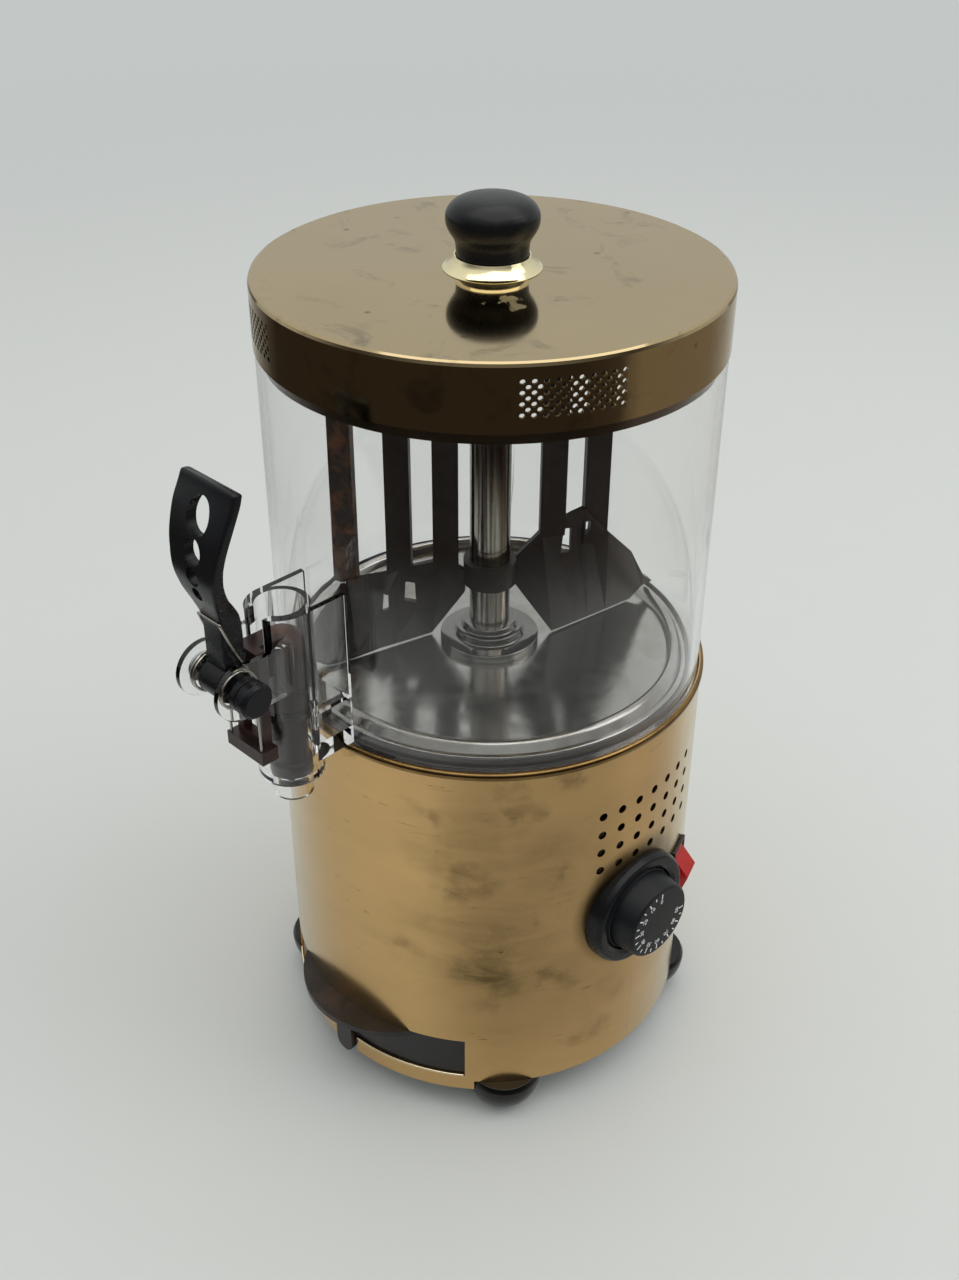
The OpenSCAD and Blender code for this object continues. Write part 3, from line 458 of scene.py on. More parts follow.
DRUM_STAINS = [  # azimuth, height, radius, strength of each heat stain on the drum
    (46, 105, 62, 0.42), (38, 165, 38, 0.3), (58, 150, 34, 0.34), (50, 60, 30, 0.16), (62, 95, 24, 0.16),
    (44.5, 93, 30, 0.95), (46.5, 116, 18, 0.5), (43.5, 68, 17, 0.45), (38.5, 146, 17, 0.75),
    (30, 151, 15, 0.4), (51.5, 181, 11, 0.7), (50, 194, 8, 0.5), (29, 178, 11, 0.5),
    (59.5, 120, 12, 0.6), (61.5, 143, 13, 0.6), (22, 100, 14, 0.5), (73, 42, 12, 0.4),
    (62.5, 84, 11, 0.6), (34, 159, 12, 0.4), (66.5, 197, 9, 0.5), (35, 120, 16, 0.3),
    (80, 65, 12, 0.25), (150, 120, 26, 0.5), (215, 90, 30, 0.4), (285, 150, 22, 0.4), (330, 80, 18, 0.3),
]
BEZEL_REFLECTION_HEIGHT, BEZEL_REFLECTION_INNER, BEZEL_REFLECTION_OUTER = 112, 26, 37  # a painted dark reflection of the bezel in the drum: a ring round the dial


def gold_drum(colours):
    """Satin stainless steel with a vapour-deposited copper-gold colour, the whole drum: a strong tinted
    reflection that is blurred a little, with a painted pale sheen where it is seen at a glancing angle,
    cloudy where hands and heat have marked it, greenish brown stains where chocolate was burnt on and
    wiped, a painted dark reflection of the bezel round the dial, and fine scratches."""
    material, tree, shader, place = blank("gold_drum_satin")
    radius = box_mm("base_skin")[1][0]
    stretched = vector(tree, "MULTIPLY", place, (1, 1, 3.2))
    cloud = noise(tree, stretched, 34, 7, Roughness=0.62, Distortion=0.8)
    swirl = vector(tree, "SUBTRACT", noise(tree, place, 22, 4, "Color"), (0.5, 0.5, 0.5))
    warped = vector(tree, "MULTIPLY_ADD", swirl, (0.05, 0.05, 0.036), place)
    stain_and_painted_reflection = 0
    for azimuth, height, reach, strength in DRUM_STAINS:
        far = vector(tree, "DISTANCE", warped, spot(azimuth, radius, height))
        stain_and_painted_reflection = calc(tree, "MAXIMUM", stain_and_painted_reflection, ease(tree, far, 0, reach * MM, strength, 0))
    stain_and_painted_reflection = calc(tree, "MULTIPLY", stain_and_painted_reflection, ease(tree, cloud, 0.3, 0.7, 0.4, 1.1), use_clamp=True)
    # painted reflection: a dark ring round the dial stands for the bezel mirrored in the drum, in the
    # stains' colour and roughness
    far = vector(tree, "DISTANCE", place, spot(DIAL_AZIMUTH, radius, BEZEL_REFLECTION_HEIGHT))
    stain_and_painted_reflection = calc(tree, "MAXIMUM", stain_and_painted_reflection, ease(tree, far, BEZEL_REFLECTION_INNER * MM, BEZEL_REFLECTION_OUTER * MM, 0.9, 0),
                use_clamp=True)
    line = noise(tree, mapped(tree, place, (0.5, 0.2, 0.4), (1, 1, 14)), 16, 2, Distortion=1.4)
    # painted sheen: the colour pales towards near white where the drum is seen at a glancing angle,
    # standing for the bright reflection there
    painted_sheen = add(tree, "LayerWeight", Blend=0.5).outputs["Facing"]
    tint = mix(tree, noise(tree, stretched, 60, 3), toned(colours.drum, 0.86), toned(colours.drum, 1.1))
    for share, coat in ((stain_and_painted_reflection, tuple(colours.drum_stain)),
                        (remap(tree, cells(tree, place, 21), 0.018, 0.032, 0.75, 0), linear("4a3820")),
                        (remap(tree, line, 0.72, 0.735, 0, 0.6), linear("5b4728")),
                        (ease(tree, painted_sheen, 0.5, 0.95, 0, 0.8), linear("ddd3b8"))):
        tint = mix(tree, share, tint, coat)
    gloss = remap(tree, cloud, 0.3, 0.7, 0.19, 0.25)
    feed(tree, shader, Base_Color=tint, Roughness=calc(tree, "MULTIPLY_ADD", stain_and_painted_reflection, 0.14, gloss),
         Normal=bump(tree, 0.04, 0.1, cloud), Metallic=1)
    return material


def bronze_lid(colours):
    """Pressed stainless steel with the same coating in a paler bronze, the lid: smoother than the drum, so
    it mirrors the knob, with dried drops, grey smears and one scraped patch in front of the knob."""
    material, tree, shader, place = blank("bronze_lid_polished")
    wobble = 0.007
    cloud = noise(tree, place, 26, 8, Roughness=0.66, Distortion=0.7)
    torn = mix(tree, wobble, place, noise(tree, place, 6, 5, "Color"), blend_type="ADD")
    far = vector(tree, "DISTANCE", torn, spot(51, 39, box_mm("lid")[1][2]) + wobble / 2)
    scrape = calc(tree, "MULTIPLY", remap(tree, far, 7 * MM, 8.5 * MM, 1, 0),
                  remap(tree, cloud, 0.46, 0.5, 0, 0.8))
    tint = mix(tree, noise(tree, place, 70, 3), toned(colours.lid, 0.9), toned(colours.lid, 1.06))
    for share, coat in ((ease(tree, cloud, 0.56, 0.72, 0, 0.75), "7d7258"),
                        (remap(tree, cells(tree, place, 24), 0.03, 0.07, 0.75, 0), "665a40"),
                        (scrape, "b3a57f")):
        tint = mix(tree, share, tint, linear(coat))
    gloss = remap(tree, cloud, 0, 1, 0.04, 0.13)
    feed(tree, shader, Base_Color=tint, Roughness=calc(tree, "MULTIPLY_ADD", scrape, 0.35, gloss),
         Normal=bump(tree, 0.05, 0.2, cloud), Metallic=1)
    return material


def polished_steel(colours, name, roughness, stretch, shade_tone=1.0, streak=None, spun=False):
    """Stainless steel turned on a lathe and polished: near mirror, with fine lines along the turning and a
    trace of dried chocolate. The shade factor darkens the colour of a piece inside the bowl, as painted
    shade, and a streak is the scale, in three directions, of dark brown bands that stand for the dim room
    in the metal. On a spun disc the round lines spread each highlight into a fan, which the anisotropy
    gives."""
    material, tree, shader, place = blank(name)
    hair = noise(tree, vector(tree, "MULTIPLY", place, stretch), 9, 4)
    if streak:
        band = noise(tree, vector(tree, "MULTIPLY", place, streak), 1, 2, Roughness=0.6)
        tint = add(tree, "ValToRGB", Fac=band, stops=[
            (0.36, "383229"), (0.45, "7b7466"), (0.5, "b4b1a8"), (0.55, "464037"),
            (0.63, tuple(colours.steel))]).outputs[0]
    else:
        film = remap(tree, noise(tree, place, 22, 6, Distortion=0.6), 0.5, 0.75, 0, 0.5)
        # painted shade: the colour is darkened by the shade factor
        tint = mix(tree, film, toned(colours.steel, shade_tone), toned(linear("8c8478"), shade_tone))
    feed(tree, shader, Base_Color=tint, Metallic=1,
         Roughness=remap(tree, hair, 0.3, 0.7, roughness * 0.7, roughness * 1.4))
    if spun:
        turning = add(tree, "Tangent", direction_type="RADIAL", axis="Z").outputs[0]
        feed(tree, shader, Anisotropic=0.6, Anisotropic_Rotation=0.25, Tangent=turning)
    else:
        feed(tree, shader, Normal=bump(tree, 0.08, 0.04, hair))
    return material


def clear_acrylic():
    """Injection-moulded clear acrylic, worn by washing: index 1.49, hairline scratches and a trace of
    haze."""
    material, tree, shader, place = blank("clear_acrylic")
    line = noise(tree, mapped(tree, place, (0.3, 0.5, 0.2), (1, 1, 0.12)), 7, 3, Distortion=1)
    scratch = remap(tree, line, 0.7, 0.74)
    haze = remap(tree, noise(tree, place, 40, 5), 0.45, 0.8, 0, 0.012)
    feed(tree, shader, Base_Color=linear("ffffff"), IOR=1.49, Transmission_Weight=1,
         Roughness=calc(tree, "MULTIPLY_ADD", scratch, 0.12, haze), Normal=bump(tree, 0.1, 0.05, scratch))
    return material


def moulded(name, base, stain, roughness, spots):
    """Moulded dark plastic with dried chocolate: the base colour, mottled, and stained where each spot
    (x, y, z, reach, strength, in millimetres) says. A spot reaches four times as far up and down."""
    material, tree, shader, place = blank(name)
    cloud = noise(tree, place, 12, 8, Roughness=0.68, Distortion=0.5)
    film = ease(tree, cloud, 0.42, 0.66)
    tint = mix(tree, film, toned(base, 0.75), toned(base, 1.35))
    squat = vector(tree, "MULTIPLY", place, (1, 1, 0.25))
    for x, y, z, reach, strength in spots:
        far = vector(tree, "DISTANCE", squat, (x * MM, y * MM, z * 0.25 * MM))
        near = ease(tree, far, reach * MM * 0.5, reach * MM, strength, 0)
        tint = mix(tree, calc(tree, "MULTIPLY", near, film), tint, tuple(stain))
    feed(tree, shader, Base_Color=tint, Normal=bump(tree, 0.2, 0.06, noise(tree, place, 1, 3)),
         Roughness=remap(tree, cloud, 0, 1, roughness * 0.75, roughness * 1.3))
    return material


def red_rocker(colours):
    """Tinted clear polycarbonate with a gloss, the lit rocker: deep red that lets some light through."""
    material, tree, shader, place = blank("red_rocker_tinted")
    cloud = noise(tree, place, 8, 3)
    feed(tree, shader, Base_Color=mix(tree, cloud, toned(colours.switch, 0.7), tuple(colours.switch)),
         Roughness=remap(tree, cloud, 0, 1, 0.12, 0.2), IOR=1.58, Transmission_Weight=0.35)
    return material


def make_finishes(colours):
    """Every finish, by the slot that it is for or the name that a piece asks for."""
    return {
        "bronze_steel": gold_drum(colours),
        "lid_steel": bronze_lid(colours),
        # polished post and collar: mirror with dark streaks from what stands around it
        "mirror_steel": polished_steel(colours, "mirror_post_steel", 0.06, (1, 1, 8),
                                       streak=(0.17, 0.17, 0.004)),
        # the stepped collar, its colour darkened as painted shade inside the bowl
        "collar": polished_steel(colours, "stepped_collar_steel", 0.1, (1, 1, 12), 0.42),
        # spun and polished stainless steel, the heated floor, its colour a little darkened as painted
        # shade
        "pan": polished_steel(colours, "spun_pan_steel", 0.17, (1, 1, 1), 0.85, spun=True),
        "clear_plastic": clear_acrylic(),
        "stirrer": moulded("stirrer_brown_acetal", colours.stirrer, colours.stirrer_stain, 0.42,
                           [(-56, -36, 285, 17, 0.9), (-56, -37, 262, 12, 0.5), (-54, -35, 240, 9, 0.35)]),
        "brown_plastic": moulded("piston_brown_silicone", linear("321d1a"), linear("6d3b2a"), 0.38,
                                 [(0, -114, 262, 13, 0.5)]),
        "smoke_plastic": moulded("switch_frame_smoke", linear("2e211c"), linear("6b4a34"), 0.22,
                                 [(97, 40, 125, 12, 0.5)]),
        "bracket": moulded("bracket_black_enamel", linear("131214"), linear("5b3a26"), 0.34,
                           [(-18, -92, 46, 26, 0.22), (10, -95, 46, 22, 0.18)]),
        "red_plastic": red_rocker(colours),
        # the lid's locating ring, the same steel left dull, its colour darkened as painted shade under the
        # lid
        "lid_inner": plain("ring_bronze_dull", "4a3c28", 1, 0.35, 1.5, 0.02),
        # the drum's rolled lip, copper with a mottled stain, its colour darkened as painted shade under
        # the bowl's edge
        "lip": plain("drum_lip_burnished", "94764a", 1, 0.2, 2.5, 0.01, 0.35),
        # the bent edge below the drum's front window, which catches the light: its pale colour is a
        # painted highlight
        "hem": plain("window_hem_bright", "f6e6c0", 1, 0.25, 2.5, 0.01, 0.05),
        # moulded ABS and phenolic, black: satin with soft wide highlights
        "black_plastic": plain("black_phenolic_satin", "17181b", 0, 0.27, 1.4, 0.03, shine=0.22),
        "dial": plain("dial_black_satin", "16181c", 0, 0.42, 0.9, 0.03, shine=0.3),
        "black_rubber": plain("foot_rubber_gloss", "0c0b0b", 0, 0.2, 2.2, 0.06, shine=0.35),
        # pressed brass, polished: the flared ring under the knob
        "brass": plain("ferrule_brass_polished", "f4e8bc", 1, 0.12, 2.0, 0.01, 0.08),
        "brown_rubber": plain("pan_seal_silicone", "3a343b", 0, 0.3, 3.0, 0.02),
        "print": plain("dial_print_white", "e8e9ea", 0, 0.55, 0.5, 0.01, 0.05),
        # bare zinc-plated or drawn steel of what holds the machine together
        "plain_steel": plain("zinc_plated_steel", "b9bcbf", 1, 0.32, 1.5, 0.02),
        "spring_steel": plain("spring_wire_steel", "b8b4ac", 1, 0.2, 2.5, 0.01),
        "sintered_bronze": plain("sintered_bronze", "9a6b3c", 1, 0.45, 0.6, 0.05),
        "cream_nylon": plain("cast_nylon_cream", "e9e2cc", 0, 0.45, 1.2, 0.02),
        "cream_ceramic": plain("steatite_ceramic", "e4ded0", 0, 0.6, 0.8, 0.04),
        "element_steel": plain("element_sheath_oxidised", "4c443f", 1, 0.5, 1.0, 0.04),
        "aluminium": plain("cast_aluminium", "b4b6b8", 1, 0.4, 1.0, 0.05),
        "copper": plain("drawn_copper", "c98a63", 1, 0.25, 1.0, 0.02),
        "painted_case": plain("painted_motor_case", "55595c", 0, 0.4, 0.9, 0.03),
    }


# ---- operators --------------------------------------------------------------------------------

class Step(bpy.types.Operator):
    """One step of the build; a step that fails raises an error."""
    bl_options = {"REGISTER", "UNDO"}

    def execute(self, context):
        self.build(context.scene.dispenser_sizes, context.scene.dispenser_colours)
        return {"FINISHED"}


class DISPENSER_OT_finishes(Step):
    """Makes the finishes and gives every CAD node its own"""
    bl_idname = "dispenser.finishes"
    bl_label = "Finishes"

    def build(self, sizes, colours):
        FINISH.update(make_finishes(colours))
        for name, node in frame["nodes"].items():
            for slot in node.material_slots:
                # the lid's ring takes the darkened finish, painted shade under the lid
                slot.material = FINISH["lid_inner" if name == "lid_ring" else SLOT_OF[name]]


class DISPENSER_OT_lid_top(Step):
    """Turns the lid's knob and its brass ferrule"""
    bl_idname = "dispenser.lid_top"
    bl_label = "Lid knob and ferrule"

    def build(self, sizes, colours):
        top = box_mm("lid")[1][2]
        rise = [(0, 1.5), (11.6, 1.5), (12.9, 2), (13.8, 3.4), (14.1, 5.5), (14.2, 8), (14.5, 10.2),
                (15.4, 12.2), (16.9, 14.6), (17.9, 17), (18.15, 19.4), (17.8, 21.6), (16.4, 23.9),
                (14, 25.7), (10.5, 26.9), (6, 27.5), (2, 27.7), (0, 27.7)]
        profile = spline(rise, 6) + [0, top]
        profile[:, 0] = np.maximum(profile[:, 0], 0)
        lathe("lid_knob_turned", profile, "lid", "black_plastic", replaces=("lid_knob",))
        flare = spline([(19.4, 0.25), (18.2, 0.9), (16.9, 2.1), (15.7, 3.6), (14.9, 5.2)], 5)
        outline = np.concatenate([[(0, 0.02), (19.3, 0.02)], flare,
                                  [(14.4, 5.2), (14.35, 1.4), (0, 1.4)]])
        lathe("lid_ferrule_pressed", outline + [0, top], "lid", "brass", replaces=("lid_ferrule",))


class DISPENSER_OT_pan(Step):
    """Spins the heated floor with its bead, and turns the stepped collar"""
    bl_idname = "dispenser.pan"
    bl_label = "Pan and collar"

    def build(self, sizes, colours):
        low, high = box_mm("floor_pan")
        pan_z, rim, sheet = high[2] - 4, high[0], 1.2
        hub = box_mm("centre_tube")[1][0] + 0.1
        bead_at, bead_r, bead_lift = 82, 2.4, 1.6
        arc = np.radians(np.linspace(150, 30, 13))
        bead = np.stack([bead_at + bead_r * np.cos(arc), pan_z + bead_lift + bead_r * np.sin(arc)], 1)
        edge = fillet([(86, pan_z, 0), (88.1, pan_z - 0.15, 1.2), (rim, low[2], 0),
                       (rim - sheet, low[2], 0), (rim - sheet, pan_z - sheet, 0.5),
                       (hub, pan_z - sheet, 0)])
        profile = np.concatenate([[(hub, pan_z), (79, pan_z)], bead, edge])
        lathe("floor_pan_spun", profile, "base", "mirror_steel", 200, closed=True, finish="pan",
              replaces=("floor_pan",))
        low, high = box_mm("centre_collar")
        steps = [(hub, low[2], 0), (21.8, low[2], 0.1), (21.8, 209.4, 0.7), (15.3, 209.9, 0.9),
                 (14.7, 213.3, 0.7), (12.4, 213.7, 0.7), (12, 216.4, 0.8), (hub, high[2], 0.2)]
        lathe("collar_turned", fillet(steps), "base", "mirror_steel", closed=True, finish="collar",
              replaces=("centre_collar",))


class DISPENSER_OT_stirrer(Step):
    """Rounds the edges of the stirrer's moulding"""
    bl_idname = "dispenser.stirrer"
    bl_label = "Stirrer"

    def build(self, sizes, colours):
        softened("stirrer", sizes.edge, angle=28, finish="stirrer")


class DISPENSER_OT_bowl(Step):
    """Rounds the edges of the clear bowl and its tap housing"""
    bl_idname = "dispenser.bowl"
    bl_label = "Bowl"

    def build(self, sizes, colours):
        softened("bowl", sizes.edge)


class DISPENSER_OT_tap(Step):
    """Rounds the tap's lever, piston and pin, and winds its return spring"""
    bl_idname = "dispenser.tap"
    bl_label = "Tap"

    def build(self, sizes, colours):
        self.lever(sizes)
        softened("tap_piston", sizes.edge)
        softened("hinge_pin", sizes.edge * 1.2, segments=3)
        self.spring(sizes)

    def lever(self, sizes):
        """The lever's blade is a row of rounded rectangles between a front and a back curve, joined to the
        hub of the CAD lever. Each of its four holes is an oval (r cos a, h sin a) straight through."""
        stations = spline([  # half width, then y and z of the front and of the back
            (5.8, -145, 257, -136.6, 257), (5.8, -145, 268, -135.3, 268), (5.9, -145.2, 279, -135.8, 279),
            (7.6, -146.9, 285.5, -139.2, 285.8), (10.3, -149.5, 292.8, -143.3, 292.2),
            (12.4, -150.8, 301.4, -145.8, 300.4), (14.3, -149, 311.5, -145.5, 310.6),
            (15.7, -145.1, 322.7, -142, 321.4), (15.7, -141.4, 330, -138.6, 329),
            (15.4, -139.6, 333.3, -137.6, 332.9)], 7)
        holes = ((6.2, 7.2, 322.4), (4.7, 5.3, 309.6), (3.5, 3.9, 300), (2.6, 2.9, 292.4))  # r, h, z
        half, front, back = stations[:, 0], stations[:, 1:3], stations[:, 3:5]
        thick = np.maximum(np.linalg.norm(front - back, axis=1) / 2, 2.1)
        way = (front - back) / np.linalg.norm(front - back, axis=1, keepdims=True)
        middle = (front + back) / 2
        tip = np.array([way[-1, 1], -way[-1, 0]])
        tip *= np.sign(tip[1])
        for lift, inset in ((0.5, 0.2), (0.85, 0.7)):
            middle = np.vstack([middle, (front[-1] + back[-1]) / 2 + tip * lift])
            half, thick = np.append(half, 15.4 - inset), np.append(thick, thick[len(stations) - 1] - inset)
            way = np.vstack([way, way[-1]])
        corner, turns = 1.0, np.linspace(0, math.pi / 2, 5)
        across, through = [], []
        for quarter, (sx, sy) in enumerate(((1, 1), (-1, 1), (-1, -1), (1, -1))):
            angle = turns + quarter * math.pi / 2
            across.append(sx * (half[:, None] - corner) + corner * np.cos(angle))
            through.append(sy * (thick[:, None] - corner) + corner * np.sin(angle))
        across, through = np.concatenate(across, 1), np.concatenate(through, 1)
        points = np.stack([across, middle[:, :1] + way[:, :1] * through,
                           middle[:, 1:] + way[:, 1:] * through], 2)
        piece = to_object("lever_moulded", points.reshape(-1, 3), sleeve(*across.shape), "lever",
                          "black_plastic", replaces=("lever",), sharp=50)
        corners = ((-30, -160), (30, -160), (30, -90), (-30, -90))
        hub = tool(*cad_mesh("lever"))
        shape(hub, (tool([(x, y, z) for z in (220, 263) for x, y in corners], sleeve(2, 4)), "INTERSECT"))
        cos, sin = circle(48)
        cutters = []
        for r, h, z in holes:
            oval = np.stack([np.stack([r * cos, np.full(48, y), z + h * sin], 1) for y in (-160, -128)])
            cutters.append((tool(oval.reshape(-1, 3), sleeve(2, 48)), "DIFFERENCE"))
        shape(piece, (hub, "UNION"), *cutters)
        smooth(piece.data, 40)
        round_edges(piece, sizes.edge, 2, 50)

    def spring(self, sizes):
        """The spring's route: over the lever's neck, down each side and twice round the hinge pin. The
        coil is (x0 + pitch t, y0 + R cos 2 pi t, z0 - R sin 2 pi t), and the legs are a smooth curve."""
        low, high = box_mm("hinge_pin")
        pivot_y, pivot_z = (low[1] + high[1]) / 2, (low[2] + high[2]) / 2
        start, pitch, turns, around = 6.45, 1.55, 2, 32
        t = np.linspace(0, turns, turns * around + 1)
        coil = np.stack([start + pitch * t, pivot_y + sizes.coil / MM * np.cos(2 * math.pi * t),
                         pivot_z - sizes.coil / MM * np.sin(2 * math.pi * t)], 1)
        bail_y, bail_z, bail_steps = -145.7, 280.3, 18
        leg = spline([(0, bail_y, bail_z), (3, bail_y, bail_z), (5.4, bail_y, bail_z),
                      (6.4, bail_y + 0.2, bail_z - 0.9), (6.5, -142, 270), (6.5, -138.4, 262),
                      (6.5, -135.6, 256), tuple(coil[0])], 6)
        half = np.concatenate([leg, coil[1:]])
        turn = np.clip((np.arange(len(half)) - bail_steps) / (len(leg) - bail_steps), 0, 1)[:, None]
        hint = turn * np.array([1, 0, 0]) + (1 - turn) * np.array([0, 1, 0])
        mirror = np.array([-1, 1, 1])
        path = np.concatenate([half[:0:-1] * mirror, half])
        hints = np.concatenate([hint[:0:-1] * mirror, hint])
        to_object("return_spring_wound", *tube(path, hints, sizes.wire / MM / 2), "lever",
                  "spring_steel", replaces=("return_spring",), sharp=80)


class DISPENSER_OT_base(Step):
    """Moulds the rubber feet, softens the tray bracket, and rolls the drum's lip and window hem"""
    bl_idname = "dispenser.base"
    bl_label = "Drum, feet and bracket"

    def build(self, sizes, colours):
        for side in ("front_right", "front_left", "rear_right", "rear_left"):
            self.foot("foot_" + side, "foot_moulded_" + side)
        softened("tray_bracket", sizes.edge, finish="bracket")
        radius, top = box_mm("base_skin")[1][1:]
        cos, sin = circle(24)
        bead = np.stack([radius - 0.35 + 1.25 * cos, top - 1.9 + 1.8 * sin], 1)
        # the rolled lip's finish is darkened as painted shade under the bowl
        lathe("drum_lip_rolled", bead, "base", "bronze_steel", 240, closed=True, finish="lip")
        # the window's hem, whose pale finish is a painted highlight
        window_from, window_to, window_z, hem_r = 4.1, 38, 23.5, 0.6
        for side, name in ((1, "right"), (-1, "left")):
            sweep = side * np.radians(np.linspace(window_from, window_to, 40))
            way = np.stack([np.sin(sweep), -np.cos(sweep), 0 * sweep], 1)
            path = way * (radius - hem_r / 2) + UP * window_z
            to_object("window_hem_" + name, *tube(path, way, hem_r, 10), "base", "bronze_steel", "hem",
                      sharp=60)

    def foot(self, node, name):
        """A ball (R sin a, R (cos a0 - cos a)) from its sole up to its middle, a short wall above, and a
        recess below for the screw's head."""
        low, high = box_mm(node)
        radius, sole_r, head_r, bore_r, head_z, height = 17.5, 7, 4.9, 2.6, 9, high[2]
        around = np.linspace(math.asin(sole_r / radius), math.pi / 2, 14)
        ball = radius * np.stack([np.sin(around), math.cos(around[0]) - np.cos(around)], 1)
        recess = fillet([(bore_r, head_z, 0), (head_r, head_z, 0.3), (head_r, 0, 0.5), (6, 0, 0)])
        top = fillet([(radius, height - 3, 0), (radius, height - 2.4, 0.8),
                      (radius - 1.2, height, 0.5), (bore_r, height, 0)])
        lathe(name, np.concatenate([recess, ball, top]), "base", "black_rubber", 72,
              tuple((low[:2] + high[:2]) / 2), closed=True, replaces=(node,))


class DISPENSER_OT_dial(Step):
    """Turns the thermostat's bezel and knob, and prints its marks and numbers"""
    bl_idname = "dispenser.dial"
    bl_label = "Dial"

    def build(self, sizes, colours):
        low, high = box_mm("dial_bezel")
        height, bezel_r = (low[2] + high[2]) / 2, (high[2] - low[2]) / 2
        seat, face, around = 92, 109.6, 144
        ring = fillet([(20.6, seat, 0), (20.6, 98.2, 0.8), (22.6, 99.2, 0.9), (bezel_r - 1.2, 99.2, 1.6),
                       (bezel_r, 96.6, 1.4), (bezel_r, seat, 0)], 6)
        points = spigot(ring, height, around)
        self.seat_on_drum(points, box_mm("base_skin")[1][0] + 0.05)
        to_object("bezel_moulded", points.reshape(-1, 3), grid_faces(len(ring), around, True), "base",
                  "black_plastic", replaces=("dial_bezel",))
        knob = fillet([(0, 95.6, 0), (20, 95.6, 0.2), (20, 97.6, 0.3), (19.4, 97.9, 0.4),
                       (18, 108.6, 0.9), (16.9, face, 0.5), (0, face, 0)])
        to_object("dial_knob_turned", spigot(knob, height, around).reshape(-1, 3),
                  grid_faces(len(knob), around), "dial", "black_plastic", "dial",
                  replaces=("thermostat_knob",))
        self.marks(sizes, height, face)

    def seat_on_drum(self, points, drum_r):
        """Moves the ring's two back edges onto the drum: outwards distance sqrt(R^2 - across^2)."""
        out, across = outward(DIAL_AZIMUTH)
        for row in (0, -1):
            side = points[row] @ across
            points[row] += (np.sqrt(drum_r ** 2 - side ** 2) - points[row] @ out)[:, None] * out

    def marks(self, sizes, height, face):
        """White marks every 15 degrees round three quarters of the face, and a number at every second. A
        print point (left, outer, proud) lies at the face's centre + beside * left + radial * outer +
        out * proud, with radial = across cos a + up sin a."""
        out, across = outward(DIAL_AZIMUTH)
        origin = out * (face - 0.01) + UP * height
        proud = sizes.print_height / MM
        outer, half, number_r = 15.9, 0.3, 11.4
        marks, numbers = ([], []), ([], [])
        for k in range(19):
            angle = math.radians(88 + 15 * k)
            radial = across * math.cos(angle) + UP * math.sin(angle)
            beside = np.cross(out, radial)
            inner = outer - sizes.tick / MM * (1 if k % 2 == 0 else 0.6)
            bar = [(left, r, lift) for lift in (0, proud)
                   for left, r in ((-half, inner), (-half, outer), (half, outer), (half, inner))]
            printed = [(marks, bar, sleeve(2, 4))]
            if k % 2 == 0:
                points, polygons = self.number(str(5 * k), sizes.number, proud)
                points = [(-p[0], p[1] + number_r, p[2] + proud / 2) for p in points]
                printed.append((numbers, points, polygons))
            for (vertices, faces), points, polygons in printed:
                base = len(vertices)
                vertices += [origin + beside * p[0] + radial * p[1] + out * p[2] for p in points]
                faces += [[base + i for i in polygon] for polygon in polygons]
        for name, layer in (("dial_marks_printed", marks), ("dial_numbers_printed", numbers)):
            to_object(name, *layer, "dial", "black_plastic", "print")

    def number(self, text, size, thick):
        """Points, in millimetres, and faces of one plain number, centred on the origin."""
        curve = bpy.data.curves.new("number", "FONT")
        curve.body, curve.size, curve.extrude = text, size / MM, thick / 2
        curve.align_x, curve.align_y, curve.resolution_u = "CENTER", "CENTER", 3
        letter = bpy.data.objects.new("number", curve)
        mesh = bpy.data.meshes.new_from_object(letter)
        points = np.array([v.co[:] for v in mesh.vertices])
        polygons = [list(p.vertices) for p in mesh.polygons]
        bpy.data.objects.remove(letter)
        bpy.data.meshes.remove(mesh)
        bpy.data.curves.remove(curve)
        return points, polygons


class DISPENSER_OT_switch(Step):
    """Softens the rocker switch and its frame"""
    bl_idname = "dispenser.switch"
    bl_label = "Switch"

    def build(self, sizes, colours):
        softened("switch_rocker", sizes.edge * 1.4, segments=3)
        softened("switch_frame", sizes.edge)


